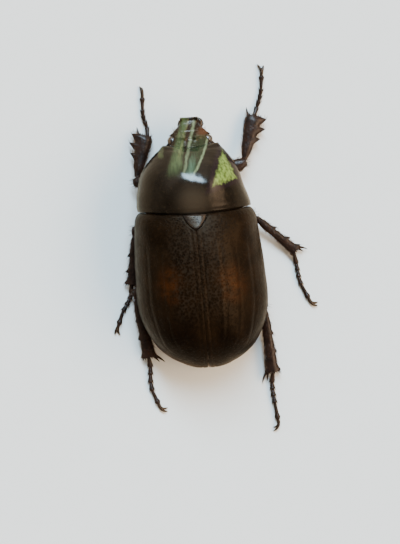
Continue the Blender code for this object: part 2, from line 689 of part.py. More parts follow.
def make_pygidium():
    """The last plate of the back, which closes the abdomen behind and below the wing tips."""
    rings = []
    for share in np.sin(np.linspace(0.0, math.pi / 2, 6)):
        y = np.interp(share, (0.0, 1.0), PYGIDIUM_Y)
        shrink = math.sqrt(1.0 - share**2)
        low = np.interp(share, (0.0, 1.0), PYGIDIUM_LOW)
        top = np.interp(share, (0.0, 1.0), PYGIDIUM_TOP)
        end_wide, end_tall = PYGIDIUM_BLUNTNESS
        wide = PYGIDIUM_HALF_WIDTH * (end_wide + (1.0 - end_wide) * shrink)
        tall = (top - low) / 2 * (end_tall + (1.0 - end_tall) * shrink)
        ring = []
        for angle in np.linspace(0.0, 2 * math.pi, 20, endpoint=False):
            x = wide * math.cos(angle) + swerve(y)
            ring.append((x, y, (low + top) / 2 + tall * math.sin(angle)))
        rings.append(ring)
    return loft("pygidium", rings, BELLY_CHITIN)


def head_bottom(y):
    """Height of the head's underside: a thin clypeus in front of the mouth, a deep capsule behind."""
    return HEAD_BOTTOM_FRONT if y < MOUTH_Y else HEAD_BOTTOM_BACK


def head_top(x, y):
    """Height of the head's upper surface."""
    half_width = through(HEAD_HALF_WIDTH, y)
    middle = through(HEAD_MIDDLE, y)
    rise = through(HEAD_TOP, y) - middle
    return middle + rise * math.sqrt(max(1.0 - (x / half_width) ** 2, 0.0))


def make_head():
    """The head capsule with its toothed clypeus, frontal ridge, tubercles and eye ridges."""
    rings = []
    for y in HEAD_PLACES:
        half_width = through(HEAD_HALF_WIDTH, y)
        middle = through(HEAD_MIDDLE, y)
        top = through(HEAD_TOP, y)
        low = head_bottom(y)
        ring = []
        for angle in np.linspace(0.0, 2 * math.pi, 26, endpoint=False):
            x = half_width * math.cos(angle)
            rise = math.sin(angle)
            z = middle + (top - middle) * rise if rise > 0 else middle + (middle - low) * rise
            ring.append((x, y + front_bow(x, y + NECK_GAP), z))
        rings.append(ring)
    head = loft("head", rings, CHITIN)
    pieces = [make_frontal_ridge()]
    for side in SIDES.values():
        x, y, radius, reach = CLYPEUS_TOOTH
        root = Vector((side * x, y, head_top(x, y) - CLYPEUS_TOOTH_SUNK))
        pieces.append(spike("clypeus_tooth", root, root + Vector((side * reach[0], *reach[1:])), radius))
        x, radius, height = FRONTAL_TUBERCLE
        y = FRONTAL_RIDGE[1]
        foot = Vector((side * x, y, head_top(x, y) - FRONTAL_TUBERCLE_SUNK))
        peak = foot + Vector((0.0, 0.0, FRONTAL_TUBERCLE_SUNK + height))
        pieces.append(spike("tubercle", foot, peak, radius, 8, FRONTAL_TUBERCLE_TIP))
        centre, radii = CANTHUS
        pieces.append(ellipsoid("canthus", (side * centre[0], *centre[1:]), radii, None, 9, 5))
    fuse(head, pieces)
    sockets = []
    for side in SIDES.values():
        x, y, z = EYE_CENTRE
        radius = EYE_RADIUS + GAP
        sockets.append(ellipsoid("eye_socket", (side * x, y, z), (radius,) * 3, None, 14, 9))
    carve(head, sockets)
    discard(sockets)
    return head


def make_frontal_ridge():
    """The low ridge that crosses the head in front of the eyes."""
    half_length, y, height = FRONTAL_RIDGE
    path = []
    radii = []
    for share in np.linspace(-1.0, 1.0, 7):
        x = half_length * share
        path.append((x, y, head_top(x, y) - FRONTAL_RIDGE_SUNK))
        swell = math.sqrt(1.0 - FRONTAL_RIDGE_TAPER * share**2)
        radii.append((height * swell, height * swell))
    return limb("frontal_ridge", path, radii, 6)


def make_eye(name, side):
    """A round compound eye in its socket."""
    x, y, z = EYE_CENTRE
    return ellipsoid(name, (side * x, y, z), (EYE_RADIUS,) * 3, EYE_GLOSS, 14, 8)


def mirrored(path, side):
    """The path of a left-hand piece, moved to the given side."""
    return [(side * x, y, z) for x, y, z in path]


def make_mandible(name, side, tuck):
    """A jaw beside the clypeus, with the tooth of its outer edge, drawn in and back by a tuck."""
    root, tip, radius = MANDIBLE_TOOTH
    inward, back = tuck
    points = [(x - inward, y + back, z) for x, y, z in (*MANDIBLE_PATH, root, tip)]
    *path, root, tip = mirrored(points, side)
    jaw = limb(name, path, MANDIBLE_RADII, 8, HORN_CHITIN)
    fuse(jaw, [spike("jaw_tooth", root, tip, radius)])
    return jaw


def make_palp(name, side):
    """A short feeler of the mouth."""
    radii = [(radius, radius) for radius in PALP_RADII]
    return limb(name, mirrored(PALP_PATH, side), radii, 7, LEG_CHITIN)


def make_antenna(name, side):
    """A ten-segment feeler: long scape, six beads and a club of three leaves."""
    start, elbow = (np.array(point) for point in ANTENNA_SCAPE)
    end = np.array(ANTENNA_END)
    path = [start, (start + elbow) / 2, elbow]
    radii = [(radius, radius) for radius in SCAPE_RADII]
    for i in range(FUNICLE_SEGMENTS):
        for part, radius in BEAD_RINGS:
            path.append(elbow + (end - elbow) * (i + part) / FUNICLE_SEGMENTS)
            radii.append((radius, radius))
    overrun, radius = CLUB_STEM
    path.append(end + (end - elbow) * overrun)
    radii.append((radius, radius))
    feeler = limb(name, mirrored(path, side), radii, 6, LEG_CHITIN)
    tip = np.array(CLUB_TIP)
    leaves = []
    for leaf, reach in CLUB_LEAF_LENGTHS:
        lift = leaf * np.array([*CLUB_LEAF_SHIFT, CLUB_LEAF_SPREAD])
        along = []
        shape = []
        for share, spread, part, thick in CLUB_LEAF_RINGS:
            along.append(end + (tip - end) * share * reach + lift * spread)
            shape.append((CLUB_HALF_WIDTH * reach * part, thick))
        leaves.append(limb("club_leaf", mirrored(along, side), shape, 7))
    fuse(feeler, leaves)
    return feeler


def ellipsoid_reach(radii, heading):
    """Distance from an ellipsoid's centre to its surface along a heading."""
    return 1.0 / math.sqrt(sum((h / r) ** 2 for h, r in zip(heading, radii)))


def coxa_of(leg, side):
    """Centre and radii of a leg's first joint on the given side."""
    (x, y, z), radii = COXAE[leg]
    return Vector((side * x + swerve(y), y, z)), radii


def femur_ends(leg, limb_name, side):
    """Where a femur starts, clear of its coxa, and where it ends, just past the knee."""
    centre, radii = coxa_of(leg, side)
    knee = Vector(KNEES[limb_name])
    heading = (knee - centre).normalized()
    start = centre + heading * (ellipsoid_reach(radii, heading) + GAP + COXA_CLEARANCE)
    return start, knee + heading * KNEE_RADIUS * 0.5


def femur_body(name, start, end, margin=0.0, look=None, sides=12):
    """A stout thigh, flattened from above, between its two ends."""
    path = []
    radii = []
    for share, radius in FEMUR_STATIONS:
        path.append(start.lerp(end, share))
        radii.append((radius + margin, radius * FEMUR_FLATNESS + margin))
    heading = (end - start).normalized()
    path[0] -= heading * margin
    path[-1] += heading * margin
    return limb(name, path, radii, sides, look)


def outward_of(heading, side):
    """The level direction across a limb that points away from the body."""
    across = Vector((heading.y, -heading.x, 0.0)).normalized()
    return across if across.x * side > 0 else -across


def make_tibia(name, leg, limb_name, side):
    """A shin: a flattened blade with teeth along its outer edge, a toothed end and its spurs."""
    knee = Vector(KNEES[limb_name])
    ankle = Vector(ANKLES[limb_name])
    heading = (ankle - knee).normalized()
    start = knee + heading * TIBIA_STARTS[limb_name]
    outward = outward_of(heading, side)
    path = []
    radii = []
    stations = TIBIA_STATIONS[leg]
    for share, half_width in stations:
        path.append(start.lerp(ankle, share))
        flatness = TIBIA_FLATNESS if share else TIBIA_HEAD_FLATNESS
        radii.append((half_width, half_width * flatness))
    shin = limb(name, path, radii, 10, LEG_CHITIN)
    pieces = []
    for share, length, radius in TIBIA_TEETH[leg]:
        edge = start.lerp(ankle, share) + outward * (through(stations, share) - TOOTH_INSET)
        lean = (outward + heading * TOOTH_LEAN).normalized()
        pieces.append(spike("tooth", edge - lean * TOOTH_SUNK, edge + lean * length, radius))
    end_width = stations[-1][1]
    for share in END_TOOTH_PLACES:
        root = ankle + outward * end_width * share + Vector((0, 0, END_TOOTH_RAISED))
        tip = root + heading * END_TOOTH_LENGTH
        pieces.append(spike("end_tooth", root - heading * ROOT_SUNK, tip, END_TOOTH_RADIUS, 5))
    spread = WIDE_SPUR_SPREADS.get(limb_name, SPUR_SPREAD)
    for i, length in enumerate(SPUR_LENGTHS[leg]):
        away = -outward if TARSUS_SHIFTS[limb_name] > SPUR_SWAP else outward
        root = ankle + away * end_width * (SPUR_PLACE - SPUR_FAN * i) - Vector((0, 0, SPUR_LOWERED))
        aim = (heading + away * (spread - SPUR_FAN * i)).normalized()
        tip = root + aim * length
        tip.z = max(tip.z, SPUR_TIP_Z)
        pieces.append(spike("spur", root - aim * ROOT_SUNK, tip, SPUR_RADIUS, 6))
    fuse(shin, pieces)
    flatten_on_floor(shin)
    return shin


def tarsus_joints(leg, limb_name):
    """The points where a foot's segments meet, from the ankle to the claws."""
    knee = Vector(KNEES[limb_name])
    ankle = Vector(ANKLES[limb_name])
    heading = (ankle - knee).normalized()
    outward = outward_of(heading, math.copysign(1.0, ankle.x))
    level = TARSUS_RADII[leg][1] * TARSUS_LEVEL
    joints = [ankle + heading * TARSUS_START + outward * TARSUS_SHIFTS[limb_name]]
    joints += [Vector((x, y, level)) for x, y in TARSI[limb_name]]
    return joints


def make_tarsus(name, leg, limb_name):
    """A foot of four beads that widen forwards and a longer claw segment."""
    neck, swell = TARSUS_RADII[leg]
    joints = tarsus_joints(leg, limb_name)
    path = []
    radii = []
    for i in range(5):
        start, end = joints[i], joints[i + 1]
        last = i == 4
        widest = CLAW_SEGMENT_RADIUS if last else swell
        for share, radius in ((0.06, neck), (0.62, widest * 0.9), (0.86, widest)):
            path.append(start.lerp(end, share))
            radii.append((radius, radius))
    path.append(joints[5])
    radii.append((neck, neck))
    foot = limb(name, path, radii, 6, LEG_CHITIN)
    flatten_on_floor(foot)
    return foot


def make_claws(name, leg, limb_name):
    """The pair of curved claws on a small root of their own."""
    joints = tarsus_joints(leg, limb_name)
    heading = (joints[5] - joints[4]).normalized()
    across = Vector((0, 0, 1)).cross(heading).normalized()
    if across.x < 0:
        across = -across
    hook = CLAW_HOOKS[limb_name]
    evenness = 1.0 - abs(hook)
    base = joints[5] + heading * (GAP + CLAW_ROOT_RADIUS)
    root = ellipsoid(name, base, (CLAW_ROOT_RADIUS,) * 3, HORN_CHITIN, 8, 6)
    claws = []
    for pair in (-1, 1):
        apart = pair * abs(hook)
        bend = base + heading * CLAW_REACH * (CLAW_BEND[0] + CLAW_BEND[1] * apart)
        bend += across * (CLAW_SPLAY[0] * pair * evenness + CLAW_HOOK_REACH[0] * hook)
        bend.z += CLAW_ARCH[0] + CLAW_ARCH[1] * pair
        along = CLAW_TIP[0] + CLAW_TIP[1] * evenness + CLAW_TIP[2] * apart
        tip = base + heading * CLAW_REACH * along
        tip += across * (CLAW_SPLAY[1] * pair * evenness + CLAW_HOOK_REACH[1] * hook)
        tip.z = CLAW_TIP_Z
        path = [quadratic(base, bend, tip, t) for t in np.linspace(0.0, 1.0, 5)]
        thick = np.linspace(CLAW_RADIUS, CLAW_TIP_RADIUS, 5)
        claws.append(limb("claw", path, [(r, r) for r in thick], 5))
    fuse(root, claws)
    flatten_on_floor(root)
    return root


def quadratic(start, bend, end, share):
    """A point of the curve that leaves start towards bend and arrives at end."""
    return start * (1 - share) ** 2 + bend * 2 * share * (1 - share) + end * share**2


def make_legs(prothorax, thorax, abdomen):
    """All six legs, and the hollows in the underside that their first joints lie in."""
    beds = {"fore": [prothorax], "middle": [thorax], "hind": [thorax, abdomen]}
    for leg, carriers in beds.items():
        for side_name, side in SIDES.items():
            limb_name = leg + "_" + side_name
            centre, radii = coxa_of(leg, side)
            ellipsoid("coxa_" + limb_name, centre, radii, LEG_CHITIN, 12, 7)
            start, end = femur_ends(leg, limb_name, side)
            femur_body("femur_" + limb_name, start, end, 0.0, LEG_CHITIN)
            room = [
                ellipsoid("coxa_room", centre, [r + BED_MARGIN for r in radii], None, 10, 6),
                femur_body("femur_room", start, end, BED_MARGIN, None, 8),
            ]
            for carrier in carriers:
                carve(carrier, room)
            discard(room)
            make_tibia("tibia_" + limb_name, leg, limb_name, side)
            make_tarsus("tarsus_" + limb_name, leg, limb_name)
            make_claws("claws_" + limb_name, leg, limb_name)


def set_on_origin():
    """Hangs every piece on one empty that puts the middle of the covered floor at the origin."""
    graph = bpy.context.evaluated_depsgraph_get()
    graph.update()
    corners = []
    for item in made.objects:
        evaluated = item.evaluated_get(graph)
        corners += [evaluated.matrix_world @ Vector(corner) for corner in evaluated.bound_box]
    corners = np.array(corners)
    middle = (corners.min(axis=0) + corners.max(axis=0)) / 2
    stand = bpy.data.objects.new("specimen", None)
    stand.location = (-middle[0], -middle[1], 0.0)
    pieces = list(made.objects)
    made.objects.link(stand)
    for item in pieces:
        item.parent = stand


def main():
    """Builds the beetle from the trunk outwards."""
    clear_scene()
    make_pronotum()
    prothorax = make_prothorax()
    elytra = [make_elytron("elytron_" + name, side) for name, side in SIDES.items()]
    make_scutellum(elytra)
    thorax = make_thorax()
    abdomen = make_abdomen()
    make_pygidium()
    make_head()
    for name, side in SIDES.items():
        make_eye("eye_" + name, side)
        make_mandible("mandible_" + name, side, MANDIBLE_TUCKS[name])
        make_palp("palp_" + name, side)
        make_antenna("antenna_" + name, side)
    make_legs(prothorax, thorax, abdomen)
    set_on_origin()


if __name__ == "__main__":
    main()
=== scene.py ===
"""The looks of Heterogomphus hirtus, a rhinoceros beetle, at life size.

Every piece is a surface worked out with numpy in millimetres: X from the midline with +X the
beetle's left, Y from the waist where pronotum and wing cases meet with the head towards -Y, and
Z from the floor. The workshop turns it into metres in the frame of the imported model.
"""

import logging
import math
from dataclasses import dataclass, field
from enum import Enum

import bpy
import numpy as np
from mathutils import Matrix, Vector

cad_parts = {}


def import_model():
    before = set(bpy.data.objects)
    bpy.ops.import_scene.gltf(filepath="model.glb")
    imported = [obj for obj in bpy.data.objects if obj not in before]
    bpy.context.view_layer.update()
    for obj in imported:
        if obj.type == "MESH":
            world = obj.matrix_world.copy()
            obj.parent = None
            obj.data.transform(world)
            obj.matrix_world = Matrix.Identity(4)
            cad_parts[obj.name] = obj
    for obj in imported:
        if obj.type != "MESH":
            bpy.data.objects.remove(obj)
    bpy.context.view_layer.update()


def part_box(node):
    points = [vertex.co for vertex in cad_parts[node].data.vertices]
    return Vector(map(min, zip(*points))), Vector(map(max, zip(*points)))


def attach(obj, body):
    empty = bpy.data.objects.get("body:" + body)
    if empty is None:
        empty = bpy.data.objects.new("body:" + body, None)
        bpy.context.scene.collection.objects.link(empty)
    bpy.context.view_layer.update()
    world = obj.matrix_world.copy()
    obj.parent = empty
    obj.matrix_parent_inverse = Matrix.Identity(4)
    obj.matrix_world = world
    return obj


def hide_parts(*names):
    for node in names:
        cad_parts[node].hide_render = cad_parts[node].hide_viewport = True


MM = 0.001
LOG = logging.getLogger("beetle")
SIDES = {"left": 1, "right": -1}
DOME = 0.92  # 1 is an ellipse, less is a flatter top with fuller shoulders
FAR_BELOW = -9.0  # lower than any part of the beetle
PATCH = 0.003  # size of one hair's patch on the map of its skin
SHARP = math.radians(55)  # edges that bend more than this stay crisp
Array = np.ndarray
Stations = tuple[tuple[float, ...], ...]
Pair = tuple[float, float]
Triple = tuple[float, float, float]
Colour = Triple
Socket = bpy.types.NodeSocket


# Shapes


def through(stations: Stations, at: Array) -> Array:
    """A smooth curve through stations of (place, value).

    Between two stations it is the cubic that has their values and the slopes that central
    differences give there.

    Args:
        stations: places in rising order, each with its value.
        at: places to read the curve at.

    Returns:
        The value at each place.
    """
    at = np.asarray(at, float)
    places, values = np.array(stations, float).T
    slopes = np.gradient(values, places)
    i = np.clip(np.searchsorted(places, at) - 1, 0, len(places) - 2)
    span = places[i + 1] - places[i]
    t = np.clip((at - places[i]) / span, 0.0, 1.0)
    start = values[i] * (1 + 2 * t) * (1 - t) ** 2 + slopes[i] * span * t * (1 - t) ** 2
    end = values[i + 1] * t * t * (3 - 2 * t) + slopes[i + 1] * span * t * t * (t - 1)
    return start + end


def bell(distance: Array, reach: float) -> Array:
    """A rounded swelling of height 1: e to the minus square of distance over reach."""
    return np.exp(-((distance / reach) ** 2))


def ramp_up(values: Array, low: float, high: float) -> Array:
    """0 below low, 1 above high, and a smooth cubic step between."""
    t = np.clip((values - low) / (high - low), 0.0, 1.0)
    return t * t * (3 - 2 * t)


def unit(vectors: Array) -> Array:
    """The same directions with length 1."""
    vectors = np.asarray(vectors, float)
    length = np.linalg.norm(vectors, axis=-1, keepdims=True)
    return vectors / np.maximum(length, 1e-9)


def unevenness(points: Array, wavelength: float, seed: int) -> Array:
    """Gentle dents and swellings: the mean of seven sine waves in seeded directions.

    Args:
        points: places, in millimetres.
        wavelength: the middle length of the waves.
        seed: which set of directions and phases.

    Returns:
        A height from -1 to 1 for each place.
    """
    draw = np.random.default_rng(seed)
    ways = unit(draw.normal(size=(7, 3))) * 2 * math.pi / wavelength
    ways *= draw.uniform(0.6, 1.6, size=(7, 1))
    phases = draw.uniform(0.0, 2 * math.pi, 7)
    return np.sin(points @ ways.T + phases).mean(axis=-1)


def dents_of(points: Array, waves: Stations) -> Array:
    """Dents of several sizes together, each given as its height, wavelength and seed."""
    return sum(height * unevenness(points, length, seed) for height, length, seed in waves)


def beads(distance: Array, rows: Stations) -> Array:
    """Beads and grooves along an edge, each given as its height, distance and reach."""
    return sum(height * bell(distance - place, reach) for height, place, reach in rows)


def normals_of(grid: Array) -> Array:
    """Outward unit normals of a grid of closed rings.

    Each is the cross product of the central differences along and around the body, turned the
    way that points from its ring's middle.

    Args:
        grid: points as (rings, points around, 3).

    Returns:
        A unit vector for each point.
    """
    along = np.gradient(grid, axis=0)
    around = np.roll(grid, -1, axis=1) - np.roll(grid, 1, axis=1)
    normals = unit(np.cross(along, around))
    outward = grid - grid.mean(axis=1, keepdims=True)
    if (normals * outward).sum() < 0:
        normals = -normals
    return normals


@dataclass
class Shell:
    """One closed surface, in millimetres."""

    points: Array
    quads: Array
    triangles: Array

    def volume(self) -> float:
        """Signed volume, the sum of the pyramids from the origin to each face."""
        halves = [self.quads[:, [0, 1, 2]], self.quads[:, [0, 2, 3]], self.triangles]
        corners = self.points[np.vstack(halves)]
        return float(np.linalg.det(corners).sum() / 6)

    def outward(self) -> "Shell":
        """The same surface with its faces pointing outwards."""
        if self.volume() >= 0:
            return self
        return Shell(self.points, self.quads[:, ::-1], self.triangles[:, ::-1])


def loft(grid: Array) -> Shell:
    """A closed body through rings of equally many points, each end closed by a fan.

    Args:
        grid: points as (rings, points around, 3).

    Returns:
        The closed surface.
    """
    rings, around = grid.shape[:2]
    middles = np.stack([grid[0].mean(axis=0), grid[-1].mean(axis=0)])
    points = np.vstack([grid.reshape(-1, 3), middles])
    j = np.arange(around)
    k = (j + 1) % around
    starts = (np.arange(rings - 1) * around)[:, None]
    quads = np.stack([starts + j, starts + k, starts + around + k, starts + around + j], axis=-1)
    last = (rings - 1) * around
    front = np.stack([k, j, np.full(around, rings * around)], axis=-1)
    back = np.stack([last + j, last + k, np.full(around, rings * around + 1)], axis=-1)
    return Shell(points, quads.reshape(-1, 4), np.vstack([front, back])).outward()


def smooth_path(points: Array, count: int) -> Array:
    """A curve through points, read at even steps of the summed straight distances.

    Args:
        points: that it passes through, as (n, 3).
        count: how many points to read.

    Returns:
        The points read, as (count, 3).
    """
    places = np.concatenate([[0.0], np.cumsum(np.linalg.norm(np.diff(points, axis=0), axis=1))])
    at = np.linspace(0.0, places[-1], count)
    columns = [through(tuple(zip(places, points[:, i])), at) for i in range(3)]
    return np.stack(columns, axis=-1)


def sweep(
    path: Array,
    across: Array,
    tall: Array,
    around: int = 24,
    cap: float = 0.12,
    up: Triple = (0.0, 0.0, 1.0),
) -> Array:
    """Oval rings carried along a path, with a rounded cap at each end.

    A ring is the path's point plus cosine times across sideways plus sine times tall upwards.
    A cap's rings shrink as the sine of a quarter turn while they move on by its cosine.

    Args:
        path: the middle line, as (n, 3).
        across: half-width sideways at each point.
        tall: half-height at each point.
        around: points in a ring.
        cap: how far each end bulges past the path.
        up: the direction that tall is measured in.

    Returns:
        A grid of rings for loft.
    """
    headings = unit(np.gradient(path, axis=0))
    sides = unit(np.cross(headings, up))
    tops = np.cross(sides, headings)
    quarter = np.linspace(0.0, math.pi / 2, 6)[1:-1]
    first = path[0] - np.outer(np.cos(quarter), headings[0]) * cap
    last = (path[-1] + np.outer(np.cos(quarter), headings[-1]) * cap)[::-1]
    shrink = np.concatenate([np.sin(quarter), np.ones(len(path)), np.sin(quarter)[::-1]])
    ends = len(quarter)
    spread = np.concatenate([[0] * ends, np.arange(len(path)), [len(path) - 1] * ends])
    centres = np.vstack([first, path, last])
    angles = np.arange(around) / around * 2 * math.pi
    wide = (across[spread] * shrink)[:, None, None] * np.cos(angles)[None, :, None]
    high = (tall[spread] * shrink)[:, None, None] * np.sin(angles)[None, :, None]
    return centres[:, None] + wide * sides[spread][:, None] + high * tops[spread][:, None]


def globe(centre: tuple[float, ...], radii: tuple[float, ...], rings: int = 24) -> Array:
    """A stretched sphere as a grid of rings about the vertical, poles left to the fans.

    Args:
        centre: its middle.
        radii: along each axis.
        rings: how many, each of twice as many points.

    Returns:
        A grid of rings for loft.
    """
    polar = np.linspace(0.0, math.pi, rings + 2)[1:-1, None]
    turn = np.arange(rings * 2) / (rings * 2) * 2 * math.pi
    flat = np.stack(
        [np.sin(polar) * np.cos(turn), np.sin(polar) * np.sin(turn), np.cos(polar) + 0 * turn], axis=-1
    )
    return np.asarray(centre, float) + flat * np.asarray(radii, float)


def spike(root: Array, tip: Array, radius: float, bend: Array | None = None) -> Shell:
    """A thorn from root to tip; bend moves its middle aside, and its radius falls as a power.

    Args:
        root: middle of its foot.
        tip: its point.
        radius: at the foot.
        bend: how far the middle stands off the straight line.

    Returns:
        The closed surface.
    """
    root, tip = np.asarray(root, float), np.asarray(tip, float)
    bend = np.zeros(3) if bend is None else np.asarray(bend, float)
    t = np.linspace(0.0, 1.0, 9)[:, None]
    path = root + (tip - root) * t + bend * 4 * t * (1 - t)
    thick = radius * (1 - t[:, 0]) ** 0.75 + 0.03
    heading = tip - root
    up = (0.0, 0.0, 1.0) if abs(heading[2]) < 0.8 * np.linalg.norm(heading) else (1.0, 0.0, 0.0)
    return loft(sweep(path, thick, thick, 10, 0.03, up))


def strands(
    roots: Array, aims: Array, bends: Array, lengths: Array, radius: float
) -> tuple[Shell, Array]:
    """Many thin curved hairs as one mesh.

    A hair's middle line is root plus length times (aim t plus bend t squared), and it is a
    three-sided pencil that narrows to a point.

    Args:
        roots: where each hair stands, as (n, 3).
        aims: the way each leaves its root.
        bends: the way each curves over.
        lengths: of each hair.
        radius: at the root.

    Returns:
        The surface, and for each of its points two numbers from 0 to 1, around and along.
    """
    count = len(roots)
    steps = np.array([-0.1, 0.35, 0.7])
    sides = unit(np.cross(aims, unit(bends + 1e-3) + [0.013, 0.007, 0.021]))
    tops = np.cross(sides, aims)
    angles = np.arange(3) / 3 * 2 * math.pi
    turned = np.cos(angles)[None, :, None] * sides[:, None] + np.sin(angles)[None, :, None] * tops[:, None]
    stalk = lengths[:, None, None]
    middles = roots[:, None] + stalk * (
        aims[:, None] * steps[None, :, None] + bends[:, None] * steps[None, :, None] ** 2
    )
    thick = radius * (1.0 - np.clip(steps, 0, 1)) ** 0.6
    rings = middles[:, :, None] + turned[:, None] * thick[None, :, None, None]
    tips = roots + lengths[:, None] * (aims + bends)
    points = np.concatenate([rings.reshape(count, 9, 3), tips[:, None]], axis=1)
    j = np.arange(3)
    k = (j + 1) % 3
    walls = [np.stack([r + j, r + k, r + 3 + k, r + 3 + j], axis=-1) for r in (0, 3)]
    quads = np.concatenate(walls)
    fans = np.vstack([np.stack([6 + j, 6 + k, np.full(3, 9)], -1), [[2, 1, 0]]])
    starts = (np.arange(count) * 10)[:, None, None]
    shell = Shell(
        points.reshape(-1, 3), (quads + starts).reshape(-1, 4), (fans + starts).reshape(-1, 3)
    ).outward()
    around = np.concatenate([np.tile(j / 3, 3), [0.5]])
    along = np.concatenate([np.repeat([0.0, 0.35, 0.7], 3), [1.0]])
    return shell, np.tile(np.stack([around, along], axis=-1), (count, 1))


# Finishes


class Nodes:
    """A tree of shader nodes, with short calls for the few kinds that the scene needs."""

    def __init__(self, tree: bpy.types.NodeTree) -> None:
        """Takes the tree that the nodes go into."""
        self.tree = tree

    def node(self, kind: str, inputs: dict, **settings: object) -> bpy.types.Node:
        """A node with its settings, and its inputs given as numbers or as other nodes' outputs.

        Args:
            kind: of node.
            inputs: the value or the output for each socket.
            settings: what else is set on it.

        Returns:
            The node.
        """
        made = self.tree.nodes.new(kind)
        for key, value in settings.items():
            setattr(made, key, value)
        for key, value in inputs.items():
            self.feed(made.inputs[key], value)
        return made

    def feed(self, socket: Socket, value: object) -> None:
        """Joins an output to a socket, or sets the socket to a plain value."""
        if isinstance(value, Socket):
            self.tree.links.new(value, socket)
        else:
            socket.default_value = value

    def math(self, operation: str, *values: object) -> Socket:
        """One sum of one, two or three numbers."""
        return self.node("ShaderNodeMath", dict(enumerate(values)), operation=operation).outputs[0]

    def span(
        self, value: Socket, low: float, high: float, start: float = 0.0, end: float = 1.0
    ) -> Socket:
        """Maps low to high onto start to end with a smooth step."""
        inputs = {"Value": value, "From Min": low, "From Max": high, "To Min": start, "To Max": end}
        return self.node("ShaderNodeMapRange", inputs, interpolation_type="SMOOTHSTEP").outputs[0]

    def along(self, vector: Socket, axis: Array) -> Socket:
        """How far a vector reaches along an axis, which is their dot product."""
        inputs = {0: vector, 1: tuple(float(a) for a in axis)}
        return self.node("ShaderNodeVectorMath", inputs, operation="DOT_PRODUCT").outputs["Value"]

    def blend(self, share: object, low: object, high: object) -> Socket:
        """A colour between two, by a share from 0 to 1.

        Args:
            share: of the second colour.
            low: the first colour.
            high: the second colour.

        Returns:
            The colour.
        """
        made = self.node("ShaderNodeMix", {}, data_type="RGBA")
        for socket, value in zip((0, 6, 7), (share, low, high)):
            value = (*value, 1.0) if isinstance(value, tuple) and len(value) == 3 else value
            self.feed(made.inputs[socket], value)
        return made.outputs[2]


class Shading(Nodes):
    """The nodes of one material, whose patterns are measured in millimetres from the waist."""

    def __init__(self, name: str, origin: Array) -> None:
        """Starts the material.

        Args:
            name: of the material.
            origin: where the waist is in the frame, in metres.
        """
        self.material = bpy.data.materials.new(name)
        self.material.use_nodes = True
        super().__init__(self.material.node_tree)
        self.surface = self.tree.nodes["Principled BSDF"]
        self.origin = origin

    def place(self, stretch: Triple = (1.0, 1.0, 1.0)) -> Socket:
        """Object coordinates in millimetres from the waist, stretched along each axis."""
        spot = self.node("ShaderNodeTexCoord", {}).outputs["Object"]
        scale = [s / MM for s in stretch]
        shift = [-o * s for o, s in zip(self.origin, scale)]
        inputs = {"Vector": spot, "Location": shift, "Scale": scale}
        return self.node("ShaderNodeMapping", inputs).outputs[0]

    def noise(self, scale: float, detail: float = 3.0, stretch: Triple = (1.0, 1.0, 1.0)) -> Socket:
        """Cloudy noise with so many swells to the millimetre."""
        inputs = {"Vector": self.place(stretch), "Scale": scale, "Detail": detail, "Roughness": 0.6}
        return self.node("ShaderNodeTexNoise", inputs).outputs["Fac"]

    def pits(self, spacing: float, uneven: float = 1.0) -> Socket:
        """0 at the middle of each puncture, rising to 1 between them."""
        inputs = {"Vector": self.place(), "Scale": 1.0 / spacing, "Randomness": uneven}
        return self.node("ShaderNodeTexVoronoi", inputs).outputs["Distance"]

    def axes(self) -> tuple[Socket, ...]:
        """The three coordinates in millimetres, one socket each."""
        return tuple(self.node("ShaderNodeSeparateXYZ", {"Vector": self.place()}).outputs)

    def relief(self, layers: list[tuple[Socket, float]]) -> None:
        """Bumps, each a height from 0 to 1 and its depth in millimetres, one upon another.

        Args:
            layers: the height and depth of each.
        """
        normal = None
        for height, depth in layers:
            inputs = {"Height": height, "Distance": depth * MM, "Strength": 1.0}
            if normal is not None:
                inputs["Normal"] = normal
            normal = self.node("ShaderNodeBump", inputs).outputs[0]
        self.feed(self.surface.inputs["Normal"], normal)

    def settle(self, **values: object) -> bpy.types.Material:
        """Sets the surface's even values, named with spaces as underscores."""
        for key, value in values.items():
            self.surface.inputs[key.replace("_", " ")].default_value = value
        return self.material


@dataclass(frozen=True)
class ReflectionStreak:
    """A lengthwise band of painted green reflection: where it runs, how wide it is, and how strong."""

    y_span: Pair
    course: Triple  # x at its rear end, its slope and its bend
    half_width: float
    width_slope: float
    strength: float
    colour: Colour
    fade: float = 0.8  # length of its soft rear end
    edge: float = 0.5  # part of its half-width that is full
    front_fade: float = 0.6

    def mask(self, nodes: Shading, x: Socket, y: Socket) -> Socket:
        """The band's share: full near its middle line, none past its width and its two ends.

        Args:
            nodes: the material's nodes.
            x: places across.
            y: places along.

        Returns:
            The share, from 0 to the band's strength.
        """
        front, rear = self.y_span
        start, slope, bend = self.course
        back_from = nodes.math("SUBTRACT", y, rear)
        curved = nodes.math("MULTIPLY_ADD", back_from, bend, slope)
        middle = nodes.math("MULTIPLY_ADD", back_from, curved, start)
        width = nodes.math("MULTIPLY_ADD", back_from, self.width_slope, self.half_width)
        aside = nodes.math("ABSOLUTE", nodes.math("SUBTRACT", x, middle))
        share = nodes.span(nodes.math("DIVIDE", aside, nodes.math("MAXIMUM", width, 0.05)), 1.2, self.edge)
        ends = nodes.span(y, rear, rear - self.fade), nodes.span(y, front, front + self.front_fade)
        for end in ends:
            share = nodes.math("MULTIPLY", share, end)
        return nodes.math("MULTIPLY", share, self.strength)


